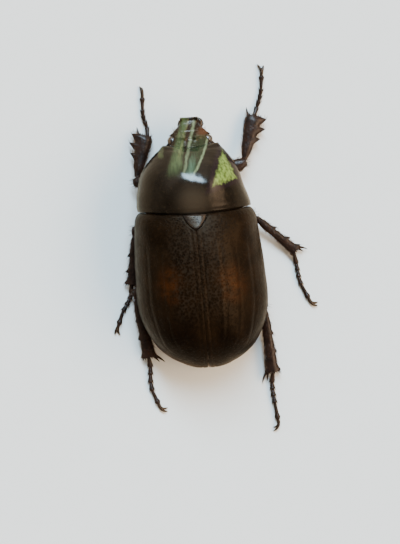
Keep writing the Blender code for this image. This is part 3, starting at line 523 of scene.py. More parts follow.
@dataclass(frozen=True)
class ReflectionWedge:
    """A three-cornered patch of painted reflection with soft edges and a dull rim round it."""

    corners: tuple[Pair, ...]  # in the order that keeps the inside on the left
    colours: tuple[Colour, Colour]
    reflection_rim_colour: Colour
    strength: float
    rim_width: float = 1.0

    def depth(self, nodes: Shading, x: Socket, y: Socket) -> Socket:
        """How far inside the nearest of its three sides a place lies, in millimetres.

        Args:
            nodes: the material's nodes.
            x: places across.
            y: places along.

        Returns:
            The depth, negative outside.
        """
        nearest = None
        for (ax, ay), (bx, by) in zip(self.corners, self.corners[1:] + self.corners[:1]):
            long = math.hypot(bx - ax, by - ay)
            across, down = (ay - by) / long, (bx - ax) / long
            part = nodes.math("MULTIPLY_ADD", x, across, -(ax * across + ay * down))
            inside = nodes.math("MULTIPLY_ADD", y, down, part)
            nearest = inside if nearest is None else nodes.math("MINIMUM", nearest, inside)
        return nearest

    def tint(self, nodes: Shading, x: Socket, y: Socket, ground: Socket) -> Socket:
        """The ground with the dull rim and then the mottled patch of painted reflection laid over it.

        Args:
            nodes: the material's nodes.
            x: places across.
            y: places along.
            ground: the colour beneath.

        Returns:
            The colour.
        """
        depth = self.depth(nodes, x, y)
        rim = nodes.span(depth, -self.rim_width, -0.4 * self.rim_width, 0.0, 0.6)
        ground = nodes.blend(rim, ground, self.reflection_rim_colour)
        ragged = nodes.math("MULTIPLY_ADD", nodes.noise(2.2, 4.0), 1.2, -0.6)
        depth = nodes.math("ADD", depth, ragged)
        mottling = nodes.span(nodes.noise(2.6, 5.0, (1.0, 0.6, 1.0)), 0.34, 0.62)
        mottled = nodes.blend(mottling, *self.colours)
        return nodes.blend(nodes.span(depth, -0.1, 0.45, 0.0, self.strength), ground, mottled)


# Painted reflection: green bands and a wedge of reflected surroundings, painted into the colour of the head
# and the front shield
DEEP_GREEN_REFLECTION = (0.02, 0.03, 0.012)
PALE_GREEN_REFLECTION = (0.17, 0.2, 0.1)
GREEN_REFLECTION_STREAKS = (
    ReflectionStreak((-15.8, -5.2), (3.0, 0.226, 0.0), 1.42, 0.09, 0.72, (0.062, 0.085, 0.032), 2.6, 0.4),
    ReflectionStreak((-15.4, -8.0), (2.1, 0.28, 0.0), 0.35, 0.02, 0.5, (0.13, 0.13, 0.045), 1.5, 0.2),
    ReflectionStreak((-12.6, -5.6), (0.3, 0.31, 0.0), 0.85, -0.08, 0.7, DEEP_GREEN_REFLECTION, 1.2),
    ReflectionStreak((-15.0, -5.5), (1.45, 0.25, 0.0), 0.32, 0.0, 0.6, PALE_GREEN_REFLECTION, 1.3, 0.1),
    ReflectionStreak((-12.2, -5.4), (0.1, 0.65, 0.03), 0.27, 0.0, 0.75, PALE_GREEN_REFLECTION, 0.9, 0.1),
    ReflectionStreak((-9.8, -5.0), (0.6, 0.24, 0.0), 0.95, 0.1, 0.6, (0.07, 0.12, 0.07), 1.2, 0.2, 2.6),
    ReflectionStreak((-11.6, -8.6), (4.7, 0.0, 0.0), 0.5, 0.0, 0.35, (0.1, 0.11, 0.04)),
)
GREEN_REFLECTION_WEDGE = ReflectionWedge(
    ((-4.9, -9.9), (-2.9, -3.8), (-7.1, -5.0)),
    ((0.06, 0.085, 0.014), (0.21, 0.28, 0.055)),
    (0.012, 0.006, 0.008),
    0.8,
)


@dataclass(frozen=True)
class Chitin:
    """Hard, dark body wall: mottled brown with punctures, fine wrinkles and a varying gloss."""

    dark: Colour
    middle: Colour
    warm: Colour
    cloud: float = 0.35  # swells of the mottling to the millimetre
    pit_spacing: float = 0.34
    pit_depth: float = 0.03
    grain: float = 9.0
    grain_depth: float = 0.008
    wrinkle: Triple = (1.0, 1.0, 1.0)
    wrinkle_depth: float = 0.0
    gloss: Pair = (0.25, 0.4)
    shine: float = 0.25  # of the wall itself, where 0.5 is that of plain plastic
    shine_colour: Colour = (1.0, 0.74, 0.5)
    coat: float = 0.15
    coat_roughness: float = 0.2

    def colour(self, nodes: Shading) -> Socket:
        """Dark to middle by large clouds, with warm flecks where finer clouds rise."""
        large = nodes.span(nodes.noise(self.cloud, 4.0), 0.36, 0.66)
        small = nodes.span(nodes.noise(self.cloud * 5, 5.0), 0.5, 0.75, 0.0, 0.7)
        ground = nodes.blend(large, self.dark, self.middle)
        return nodes.blend(small, ground, self.warm)

    def wear(self, nodes: Shading) -> Socket:
        """Roughness, rubbed brighter and duller in patches."""
        low, high = self.gloss
        return nodes.span(nodes.noise(0.8, 5.0), 0.35, 0.7, low, high)

    def polish(self, nodes: Shading) -> float | Socket:
        """How much clear polish lies over the wall."""
        return self.coat

    def layers(self, nodes: Shading) -> list[tuple[Socket, float]]:
        """The bumps: grain, then wrinkles, then punctures.

        Args:
            nodes: the material's nodes.

        Returns:
            The height and depth of each.
        """
        found = [(nodes.noise(self.grain, 3.0), self.grain_depth)]
        if self.wrinkle_depth:
            found.append((nodes.noise(1.0, 4.0, self.wrinkle), self.wrinkle_depth))
        hollow = nodes.span(nodes.pits(self.pit_spacing), 0.08, 0.42)
        found.append((hollow, self.pit_depth))
        return found

    def dress(self, name: str, origin: Array) -> bpy.types.Material:
        """The finished material.

        Args:
            name: of the material.
            origin: where the waist is in the frame, in metres.

        Returns:
            The material.
        """
        nodes = Shading(name, origin)
        nodes.feed(nodes.surface.inputs["Base Color"], self.colour(nodes))
        nodes.feed(nodes.surface.inputs["Roughness"], self.wear(nodes))
        nodes.relief(self.layers(nodes))
        nodes.feed(nodes.surface.inputs["Coat Weight"], self.polish(nodes))
        tint = (*self.shine_colour, 1.0)
        return nodes.settle(
            Specular_IOR_Level=self.shine, Specular_Tint=tint, Coat_Roughness=self.coat_roughness
        )


@dataclass(frozen=True)
class WingCaseChitin(Chitin):
    """The wing cases: a red-brown glow in the middle of each, and painted shade that makes them nearly
    black behind.
    """

    glow: Triple = (4.8, 11.0, 3.1)  # x, y and reach
    glow_colour: Colour = (0.034, 0.0095, 0.002)
    speck_colour: Colour = (0.026, 0.0145, 0.006)
    # painted shade in the punctures, and a painted highlight on the pale net of rims between them
    pit_shade_colour: Colour = (0.0018, 0.0009, 0.0005)
    # painted shade: the rear slope darkens towards nearly black, away from the suture
    rear_shade_colour: Colour = (0.002, 0.0008, 0.0003)
    rear_shade_span: Pair = (13.5, 20.0)
    seam_width: Pair = (0.9, 2.4)  # stays brown behind, out to here
    net_highlight_colour: Colour = (0.019, 0.0125, 0.0078)
    net_highlight_reach: Pair = (5.6, 3.0)  # from the suture, faint to full
    net_highlight_end: Pair = (18.5, 13.0)
    pit_shade_reach: Pair = (6.5, 2.5)

    def colour(self, nodes: Shading) -> Socket:
        """The mottled brown, the glow, painted shade on the rear, specks, painted shade in the punctures
        and a painted highlight as a pale net between.

        Args:
            nodes: the material's nodes.

        Returns:
            The colour.
        """
        ground = super().colour(nodes)
        x, y, _ = nodes.axes()
        middle = nodes.math("MULTIPLY_ADD", y, BackForm.swerve_slope, x)
        outward = nodes.math("ABSOLUTE", middle)
        off_seam = nodes.span(outward, *self.seam_width)
        # painted shade on the rear slope, kept off the suture
        behind = nodes.math("MULTIPLY", nodes.span(y, *self.rear_shade_span), off_seam)
        behind = nodes.math("MULTIPLY", behind, nodes.span(nodes.noise(0.4, 3.0), 0.3, 0.55, 0.35, 0.95))
        ground = nodes.blend(behind, ground, self.rear_shade_colour)
        aside = nodes.math("SUBTRACT", outward, self.glow[0])
        along = nodes.math("MULTIPLY", nodes.math("SUBTRACT", y, self.glow[1]), 0.7)
        squares = nodes.math("ADD", nodes.math("POWER", aside, 2.0), nodes.math("POWER", along, 2.0))
        near = nodes.span(nodes.math("SQRT", squares), self.glow[2], 0.5)
        near = nodes.math("MULTIPLY", near, nodes.span(nodes.noise(0.5, 4.0), 0.3, 0.7))
        glowing = nodes.blend(near, ground, self.glow_colour)
        specks = nodes.span(nodes.noise(3.2, 2.0), 0.6, 0.74, 0.0, 0.3)
        specked = nodes.blend(specks, glowing, self.speck_colour)
        # painted shade darkens the punctures, most near the suture
        inner = nodes.span(outward, *self.pit_shade_reach, 0.2, 0.7)
        hollow = nodes.span(nodes.pits(self.pit_spacing), 0.42, 0.12)
        pitted = nodes.blend(nodes.math("MULTIPLY", inner, hollow), specked, self.pit_shade_colour)
        # painted highlight: a pale net on the rims between the punctures, fading away from the suture and
        # towards the tail
        outer = nodes.span(outward, *self.net_highlight_reach, 0.0, 0.6)
        between = nodes.span(nodes.pits(self.pit_spacing), 0.4, 0.75)
        net = nodes.math("MULTIPLY", nodes.math("MULTIPLY", outer, between), nodes.span(y, *self.net_highlight_end))
        return nodes.blend(net, pitted, self.net_highlight_colour)


@dataclass(frozen=True)
class ReflectionPaintedChitin(Chitin):
    """Polished chitin of the head and the front shield, with bands of painted green reflection in front."""

    flank: Colour = (0.008, 0.005, 0.0024)
    # painted reflection: a paler patch on the shield's rear stands for a broad warm glare
    saddle_reflection: Colour = (0.045, 0.032, 0.02)
    saddle_reflection_spot: Triple = (0.0, -1.9, 3.9)
    brow_spot: Triple = (0.4, -5.4, 5.0)  # rubbed brightest
    brow_full: float = 2.2  # at its brightest out to here
    brow_coat: float = 0.6
    ember: Colour = (0.07, 0.022, 0.008)
    ember_spot: Triple = (-2.15, -12.8, 1.35)

    def colour(self, nodes: Shading) -> Socket:
        """The mottled brown, flanks, a pale saddle of painted reflection, an ember spot, then the painted
        green reflection.

        Its bands are finely striped lengthwise.

        Args:
            nodes: the material's nodes.

        Returns:
            The colour.
        """
        colour = super().colour(nodes)
        x, y, _ = nodes.axes()
        sway = nodes.math("MULTIPLY_ADD", nodes.noise(0.7, 3.0), 0.6, -0.3)
        swayed = nodes.math("ADD", x, sway)
        outer = nodes.span(nodes.math("ABSOLUTE", x), 4.5, 8.0, 0.0, 0.75)
        colour = nodes.blend(outer, colour, self.flank)
        # the saddle patch is a painted reflection
        for tone, spot in ((self.saddle_reflection, self.saddle_reflection_spot), (self.ember, self.ember_spot)):
            near = nodes.span(self.away(nodes, swayed, y, spot), spot[2], 0.2, 0.0, 0.75)
            colour = nodes.blend(near, colour, tone)
        # painted reflection: lengthwise striped green bands, then the wedge, laid into the colour
        stripes = nodes.span(nodes.noise(1.1, 3.0, (3.0, 0.22, 0.5)), 0.32, 0.66, 0.6, 1.2)
        for reflection_band in GREEN_REFLECTION_STREAKS:
            share = nodes.math("MULTIPLY", reflection_band.mask(nodes, swayed, y), stripes)
            colour = nodes.blend(share, colour, reflection_band.colour)
        return GREEN_REFLECTION_WEDGE.tint(nodes, swayed, y, colour)

    def away(self, nodes: Shading, x: Socket, y: Socket, spot: Triple) -> Socket:
        """How far a place lies from a spot as seen from above, in millimetres."""
        aside = nodes.math("POWER", nodes.math("SUBTRACT", x, spot[0]), 2.0)
        along = nodes.math("POWER", nodes.math("SUBTRACT", y, spot[1]), 2.0)
        return nodes.math("SQRT", nodes.math("ADD", aside, along))

    def polish(self, nodes: Shading) -> Socket:
        """Rubbed brightest on the brow of the shield."""
        x, y, _ = nodes.axes()
        away = self.away(nodes, x, y, self.brow_spot)
        return nodes.span(away, self.brow_spot[2], self.brow_full, self.coat, self.brow_coat)


@dataclass(frozen=True)
class Facets:
    """The compound eye: a dark, glassy dome of tiny six-sided lenses."""

    colour: Colour = (0.018, 0.012, 0.01)
    glint: Colour = (0.09, 0.045, 0.018)
    spacing: float = 0.075

    def dress(self, name: str, origin: Array) -> bpy.types.Material:
        """The finished material, as for Chitin."""
        nodes = Shading(name, origin)
        cells = nodes.pits(self.spacing, 0.25)
        colour = nodes.blend(nodes.span(nodes.noise(1.5, 2.0), 0.4, 0.7), self.colour, self.glint)
        nodes.feed(nodes.surface.inputs["Base Color"], colour)
        nodes.relief([(nodes.span(cells, 0.5, 0.0), 0.012)])
        return nodes.settle(Roughness=0.12, Coat_Weight=0.8, Coat_Roughness=0.06)


@dataclass(frozen=True)
class HairGloss:
    """Stiff hairs, each a little lighter or darker than the next."""

    dark: Colour
    light: Colour
    roughness: Pair = (0.35, 0.6)

    def dress(self, name: str, origin: Array) -> bpy.types.Material:
        """The finished material, as for Chitin."""
        nodes = Shading(name, origin)
        share = nodes.span(nodes.noise(2.5, 3.0), 0.35, 0.65)
        nodes.feed(nodes.surface.inputs["Base Color"], nodes.blend(share, self.dark, self.light))
        rough = nodes.span(nodes.noise(6.0, 2.0), 0.3, 0.7, *self.roughness)
        nodes.feed(nodes.surface.inputs["Roughness"], rough)
        return nodes.settle(Coat_Weight=0.1)


class Finish(Enum):
    """The beetle's finishes."""

    WING_CASE = WingCaseChitin(
        (0.004, 0.0018, 0.0007), (0.0085, 0.0038, 0.0014), (0.0145, 0.0066, 0.0026),
        pit_spacing=0.36, pit_depth=0.03, wrinkle=(2.2, 7.0, 3.0), wrinkle_depth=0.025,
        gloss=(0.28, 0.4), shine=0.065, coat=0.0, coat_roughness=0.3,
    )
    SHIELD = ReflectionPaintedChitin(
        (0.0045, 0.003, 0.0018), (0.010, 0.0065, 0.004), (0.02, 0.012, 0.006),
        pit_spacing=0.3, pit_depth=0.008, grain_depth=0.002, gloss=(0.14, 0.24), shine=0.09,
        coat=0.1, coat_roughness=0.13,
    )
    HEAD = ReflectionPaintedChitin(
        (0.006, 0.0035, 0.0024), (0.014, 0.0075, 0.004), (0.03, 0.014, 0.006),
        pit_spacing=0.3, pit_depth=0.045, wrinkle=(3.0, 6.0, 3.0), wrinkle_depth=0.03,
        gloss=(0.2, 0.32), shine=0.25, coat=0.1, coat_roughness=0.14,
    )
    PLATE = Chitin(
        (0.012, 0.008, 0.006), (0.028, 0.017, 0.011), (0.04, 0.024, 0.014),
        pit_spacing=0.3, pit_depth=0.06, gloss=(0.24, 0.38), shine=0.2, coat=0.08,
    )
    UNDERSIDE = Chitin(
        (0.02, 0.008, 0.004), (0.05, 0.019, 0.008), (0.085, 0.035, 0.014),
        pit_spacing=0.45, pit_depth=0.05, wrinkle=(3.0, 3.0, 3.0), wrinkle_depth=0.03, gloss=(0.26, 0.42),
    )
    TAIL_PLATE = Chitin(
        (0.022, 0.01, 0.005), (0.05, 0.022, 0.010), (0.08, 0.038, 0.017),
        pit_spacing=0.3, pit_depth=0.05, gloss=(0.3, 0.45),
    )
    LEG = Chitin(
        (0.008, 0.0045, 0.0035), (0.018, 0.0085, 0.0055), (0.04, 0.014, 0.007),
        cloud=0.6, pit_spacing=0.42, pit_depth=0.04, wrinkle=(2.5, 2.5, 2.5), wrinkle_depth=0.02,
        gloss=(0.22, 0.36), shine=0.16, shine_colour=(1.0, 0.86, 0.76), coat=0.08,
    )
    CLAW = Chitin(
        (0.006, 0.004, 0.0035), (0.016, 0.008, 0.005), (0.05, 0.02, 0.008),
        cloud=0.8, pit_spacing=0.6, pit_depth=0.01, gloss=(0.16, 0.28), coat=0.3,
    )
    EYE = Facets()
    TAN_HAIR = HairGloss((0.065, 0.03, 0.012), (0.2, 0.105, 0.042))
    DARK_HAIR = HairGloss((0.03, 0.012, 0.006), (0.10, 0.04, 0.016))


# Workshop


@dataclass
class Workshop:
    """Turns surfaces into pieces of the scene and keeps one material for each finish."""

    origin: Array
    materials: dict = field(default_factory=dict)
    triangles: int = 0

    def material(self, finish: Finish) -> bpy.types.Material:
        """The material of a finish, made when it is first asked for."""
        if finish not in self.materials:
            name = finish.name.lower() + "_finish"
            self.materials[finish] = finish.value.dress(name, self.origin)
        return self.materials[finish]

    def add(
        self, name: str, shells: list[Shell], finish: Finish, nodes: tuple[str, ...] = (), slot: str = ""
    ) -> bpy.types.Object:
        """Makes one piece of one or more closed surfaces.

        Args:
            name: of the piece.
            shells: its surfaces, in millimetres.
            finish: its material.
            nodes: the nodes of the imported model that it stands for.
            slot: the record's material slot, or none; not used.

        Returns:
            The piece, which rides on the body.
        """
        starts = np.cumsum([0] + [len(shell.points) for shell in shells])
        points = np.vstack([shell.points for shell in shells]) * MM + self.origin
        faces = []
        for start, shell in zip(starts, shells):
            faces += (shell.quads + start).tolist() + (shell.triangles + start).tolist()
        mesh = bpy.data.meshes.new(name)
        mesh.from_pydata(points.tolist(), [], faces)
        mesh.shade_smooth()
        mesh.set_sharp_from_angle(angle=SHARP)
        mesh.materials.append(self.material(finish))
        piece = bpy.data.objects.new(name, mesh)
        bpy.context.scene.collection.objects.link(piece)
        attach(piece, "root")
        if nodes:
            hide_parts(*nodes)
        count = sum(2 * len(shell.quads) + len(shell.triangles) for shell in shells)
        self.triangles += count
        LOG.info("%s: %d surfaces, %d triangles", name, len(shells), count)
        return piece

    def add_coat(self, name: str, tufts: list["Tuft"], finish: Finish) -> bpy.types.Object:
        """Makes one piece of hair, with its map of root places.

        Args:
            name: of the piece.
            tufts: groups of hairs, each with its part of the map.
            finish: its material.

        Returns:
            The piece.
        """
        shells, spots = [], []
        for tuft in tufts:
            shell, local = strands(tuft.roots, tuft.aims, tuft.bends, tuft.lengths, tuft.radius)
            shells.append(shell)
            places = np.repeat(tuft.spots, len(local) // len(tuft.spots), axis=0)
            spots.append(places + (local - 0.5) * PATCH)
        piece = self.add(name, shells, finish)
        mesh = piece.data
        corners = np.empty(len(mesh.loops), np.int32)
        mesh.loops.foreach_get("vertex_index", corners)
        layer = mesh.uv_layers.new(name="OFBake")
        layer.data.foreach_set("uv", np.vstack(spots)[corners].astype(np.float32).ravel())
        return piece


@dataclass
class Tuft:
    """A group of hairs: roots, directions, lengths, and each root's place on the skin's map."""

    roots: Array
    aims: Array
    bends: Array
    lengths: Array
    radius: float
    spots: Array


@dataclass
class Skin:
    """A finished grid of rings that hair can stand on."""

    grid: Array
    cell: tuple[float, float, float, float] = (0.02, 0.02, 0.96, 0.96)  # its part of the map

    def __post_init__(self) -> None:
        """Works out the normals once."""
        self.normals = normals_of(self.grid)

    def tuft(
        self,
        allowed: Array,
        count: int,
        length: float,
        lie: Triple,
        rise: float,
        radius: float,
        seed: int,
    ) -> Tuft:
        """Hairs at drawn places of the skin.

        Each leaves its root by the normal times rise plus the lie, with a little scatter, and
        bends over towards the lie.

        Args:
            allowed: for each point of the grid, its chance of carrying a hair.
            count: how many hairs.
            length: the middle length.
            lie: the way the coat lies.
            rise: how much the hairs stand up.
            radius: at the roots.
            seed: of the draw.

        Returns:
            The hairs.
        """
        draw = np.random.default_rng(seed)
        chance = allowed.ravel() / allowed.sum()
        picked = draw.choice(chance.size, size=count, p=chance)
        row, column = np.unravel_index(picked, allowed.shape)
        slide = draw.uniform(-0.5, 0.5, size=(count, 1))
        ahead = self.grid[np.minimum(row + 1, len(self.grid) - 1), column] - self.grid[row, column]
        normals = self.normals[row, column]
        scatter = draw.normal(scale=0.22, size=(count, 3))
        lie = np.asarray(lie, float)
        aims = unit(normals * rise + lie + scatter)
        bends = (lie * 0.35 - normals * rise * 0.3) * draw.uniform(0.4, 1.0, size=(count, 1))
        left, low, wide, high = self.cell
        rows, columns = allowed.shape
        spots = np.stack([left + wide * column / columns, low + high * row / rows], axis=-1)
        lengths = length * draw.uniform(0.6, 1.25, size=count)
        return Tuft(self.grid[row, column] + ahead * slide, aims, bends, lengths, radius, spots)


# The body


@dataclass
class BackForm:
    """The outline and height of the wing cases, which the parts beneath them follow too."""

    half_width_most: float = 10.4
    widest_y: float = 13.0
    end_y: float = 24.65
    shoulder_drop: float = 1.12
    shoulder_round: float = 0.9
    shoulder_reach: float = 1.5
    crown_y: float = 9.0
    crown_z: float = 15.3
    front_drop: float = 2.0
    rim_z: float = 4.7
    rim_rise: float = 0.9
    wall: float = 0.85
    epipleuron: float = 0.9  # depth of the edge that folds down along the flank
    inset: float = 1.4  # from the wing cases' outside to the trunk beneath them
    swerve_slope: float = 0.03  # the rear body points this much to the right per millimetre
    bow: float = 0.85  # how far the seam at the waist curves forward at its ends
    bow_reach: float = 4.0
    waist: float = 8.95  # half-width of that seam

    def half_width(self, y: Array, inset: float = 0.0) -> Array:
        """Half-width in plan: rounded shoulders, a slow swelling, then half an ellipse.

        Args:
            y: places along.
            inset: how far inside the wing cases.

        Returns:
            The half-width at each place.
        """
        behind = np.clip((y - self.widest_y) / (self.end_y - inset - self.widest_y), 0.0, 1.0)
        ahead = np.clip((self.widest_y - y) / self.widest_y, 0.0, 1.0)
        corner = np.clip(1.0 - y / self.shoulder_reach, 0.0, 1.0)
        swell = self.shoulder_drop * ahead**2 + self.shoulder_round * corner**2
        return (self.half_width_most - inset) * np.sqrt(1.0 - behind**2) - swell

    def rim(self, y: Array) -> Array:
        """Height of the outer edge, lowest at mid-length and rising as a square."""
        return self.rim_z + self.rim_rise * ((y - self.widest_y) / self.widest_y) ** 2

    def crown(self, y: Array, inset: float = 0.0) -> Array:
        """Height of the midline: an arch up to the crown, then a quarter of an ellipse down.

        Args:
            y: places along.
            inset: how far inside the wing cases.

        Returns:
            The height at each place.
        """
        behind = np.clip((y - self.crown_y) / (self.end_y - inset - self.crown_y), 0.0, 1.0)
        ahead = np.clip((self.crown_y - y) / self.crown_y, 0.0, 1.0)
        rise = (self.crown_z - inset - self.rim(self.crown_y)) * np.sqrt(1.0 - behind**2)
        return self.rim(y) + rise - self.front_drop * ahead**2

    def swerve(self, y: Array) -> Array:
        """How far the rear body's middle line stands to the left; negative is to the right."""
        return -self.swerve_slope * np.maximum(y, 0.0)

    def bowed(self, x: Array, y: Array) -> Array:
        """How far the seam stands forward: the square of x, fading out on both sides of it."""
        fade = np.maximum(1.0 - np.abs(y) / self.bow_reach, 0.0)
        return self.bow * (x / self.waist) ** 2 * fade


@dataclass
class Scutellum:
    """The small shield between the wing cases."""

    back: BackForm
    half_width_most: float = 1.85
    start_y: float = 0.17
    end_y: float = 2.55
    depth: float = 0.8
    doming: float = 0.06
    bevel: float = 0.22
    end_drop: float = 0.2
    sunk: float = 0.02  # below the surface of the back

    def half_width(self, y: Array, margin: float = 0.0) -> Array:
        """Full at the waist and round at the tip: one less a power of the share of its length."""
        share = np.clip((y - self.start_y) / (self.end_y + margin - self.start_y), 0.0, 1.0)
        return (self.half_width_most + margin) * (1.0 - share**1.6) ** 0.8

    def build(self, shop: Workshop) -> None:
        """A domed plate with a bevelled edge, just below the surface of the back.

        Args:
            shop: makes the pieces.
        """
        y = self.start_y + (self.end_y - self.start_y) * np.sin(np.linspace(0, math.pi / 2, 40)[:-1])
        y = y[:, None]
        share = np.linspace(-1.0, 1.0, 41)[None]
        x = self.half_width(y) * share
        front = ramp_up(y, self.start_y - 0.15, self.start_y + 0.3)
        level = ramp_up(y, self.end_y, self.end_y - 0.35) * front
        edge = self.bevel * np.abs(share) ** 7 + self.end_drop * (1 - level)
        top = self.back.crown(y) - self.sunk - self.doming * x**2 - edge
        upper = np.stack([x, y + 0 * x, top], axis=-1)
        lower = np.stack([x, y + 0 * x, self.back.crown(y) - self.depth + 0 * x], axis=-1)[:, ::-1]
        grid = np.concatenate([upper, lower], axis=1)
        grid[..., 0] += self.back.swerve(grid[..., 1])
        shop.add("scutellum_plate", [loft(grid)], Finish.PLATE, ("scutellum",), "elytra")


@dataclass
class WingCases:
    """The two elytra, each a closed shell with its grooves, swellings and folded edge."""

    back: BackForm
    scutellum: Scutellum
    suture: float = 0.03  # half of the gap between the two
    start_y: float = 0.16
    notch_margin: float = 0.06
    rows: int = 190
    across: int = 110
    humeral: tuple[float, float, float, float] = (7.2, 2.4, 1.9, 0.45)
    apical: tuple[float, float, float, float] = (5.6, 19.6, 2.2, 0.4)
    edge_beads: Stations = ((-0.09, 0.75, 0.15), (0.015, 0.4, 0.2))  # height, place and reach
    edge_start: Pair = (1.5, 4.5)
    suture_groove: Stations = ((-0.06, 0.0, 0.09),)
    ribs: tuple[float, ...] = (0.3, 0.52, 0.74)
    rib_beads: Stations = ((0.05, 0.0, 0.03), (-0.04, 0.055, 0.02))
    rib_start: Pair = (3.0, 7.0)
    rib_end: Pair = (22.5, 18.0)
    rim_beads: Stations = ((0.07, 0.0, 0.03), (-0.1, 0.1, 0.04))
    front_round: Pair = (0.14, 0.3)  # depth and length
    dents: Stations = ((0.045, 4.5, 3), (0.014, 1.1, 4), (0.009, 0.55, 5))

    def build(self, shop: Workshop) -> None:
        """Both wing cases."""
        for name, side in SIDES.items():
            piece = "wing_case_" + name
            shop.add(piece, [loft(self.rings(side))], Finish.WING_CASE, ("elytron_" + name,), "elytra")

    def inner_edge(self, y: Array) -> Array:
        """Distance of the inner edge from the midline.

        It runs round the scutellum, along the suture, and away from it at the rounded tip.

        Args:
            y: places along.

        Returns:
            The distance at each place.
        """
        margin = self.notch_margin
        notch = self.scutellum.half_width(y, margin) * (y < self.scutellum.end_y + margin)
        tip = 0.2 * np.clip((y - self.back.end_y + 1.0), 0.0, 1.0) ** 3
        return np.maximum(self.suture + tip, notch)

    def rings(self, side: int) -> Array:
        """Cross-sections from the waist to the tip.

        The outside is half a dome, x = w sin(a)^0.92 and z = rim + (crown - rim) cos(a)^0.92,
        from the inner edge to the rim. It goes on down the folded edge, in along its ledge and
        back under the same dome less the wall.

        Args:
            side: 1 for the left and -1 for the right.

        Returns:
            A grid of rings for loft.
        """
        back = self.back
        last = back.end_y - 0.03
        y = self.start_y + (last - self.start_y) * np.sin(np.linspace(0.0, math.pi / 2, self.rows))
        y = y[:, None]
        width, rim, crown = back.half_width(y), back.rim(y), back.crown(y)
        inner = np.minimum(self.inner_edge(y), width * 0.8)
        start = np.arcsin(np.clip((inner / width) ** (1 / DOME), 0, 1))
        angle = start + (math.pi / 2 - start) * np.linspace(0.0, 1.0, self.across)[None]
        x = width * np.sin(angle) ** DOME
        z = rim + (crown - rim) * np.maximum(np.cos(angle), 0.0) ** DOME
        outer = np.stack([x, y + 0 * x, z], axis=-1)
        outer += self.relief(outer, angle, inner)[..., None] * self.outward(outer)
        wall = np.minimum(back.wall, 0.42 * np.minimum(width - inner, crown - rim + back.epipleuron))
        fold = np.linspace(0.12, 1.0, 7)[None]
        drop = back.epipleuron * wall / back.wall
        down = np.stack([width - 0.16 * fold**2 * wall, y + 0 * fold, rim - drop * fold], axis=-1)
        ledge = np.linspace(0.25, 1.0, 5)[None]
        ledge_x = width - wall * (0.16 + 0.84 * ledge)
        inward = np.stack([ledge_x, y + 0 * ledge, rim - drop * (1 - 0.12 * ledge)], axis=-1)
        under_width, under_crown = width - wall, crown - wall
        low = np.arcsin(np.clip((inner / np.maximum(under_width, inner + 0.02)) ** (1 / DOME), 0, 1))
        turn = math.pi / 2 + (low - math.pi / 2) * np.linspace(0.0, 1.0, 40)[None]
        x = under_width * np.sin(turn) ** DOME
        under_rim = rim - wall * 0.2
        z = under_rim + (under_crown - under_rim) * np.maximum(np.cos(turn), 0.0) ** DOME
        under = np.stack([np.maximum(x, inner), y + 0 * x, z], axis=-1)
        grid = np.concatenate([outer, down, inward, under], axis=1)
        moved = np.stack([back.swerve(grid[..., 1]), -back.bowed(grid[..., 0], grid[..., 1])], axis=-1)
        grid = grid * [side, 1, 1]
        grid[..., :2] += moved
        return grid

    def outward(self, grid: Array) -> Array:
        """Unit normals of an open grid, upwards."""
        normals = unit(np.cross(np.gradient(grid, axis=0), np.gradient(grid, axis=1)))
        return normals * np.where(normals[..., 2:].mean() < 0, -1, 1)

    def relief(self, points: Array, angle: Array, inner: Array) -> Array:
        """Height over the smooth dome: swellings, grooves, faint ribs, beaded rim and dents.

        Args:
            points: of the smooth dome.
            angle: of each from the top, a quarter turn at the rim.
            inner: distance of the inner edge from the midline.

        Returns:
            The height at each point.
        """
        x, y = points[..., 0], points[..., 1]
        height = np.zeros_like(x)
        for spot_x, spot_y, reach, rise in (self.humeral, self.apical):
            height += rise * bell(np.hypot(x - spot_x, y - spot_y), reach)
        from_edge = x - inner
        height += beads(from_edge, self.edge_beads) * ramp_up(y, *self.edge_start)
        height += beads(from_edge, self.suture_groove)
        share = x / self.back.half_width(y)
        fade = ramp_up(y, *self.rib_start) * ramp_up(y, *self.rib_end)
        for rib in self.ribs:
            height += beads(share - rib, self.rib_beads) * fade
        to_rim = math.pi / 2 - angle
        height += beads(to_rim, self.rim_beads)
        depth, length = self.front_round
        height -= depth * (1 - ramp_up(y, self.start_y, self.start_y + length)) ** 2
        return height + dents_of(points, self.dents)


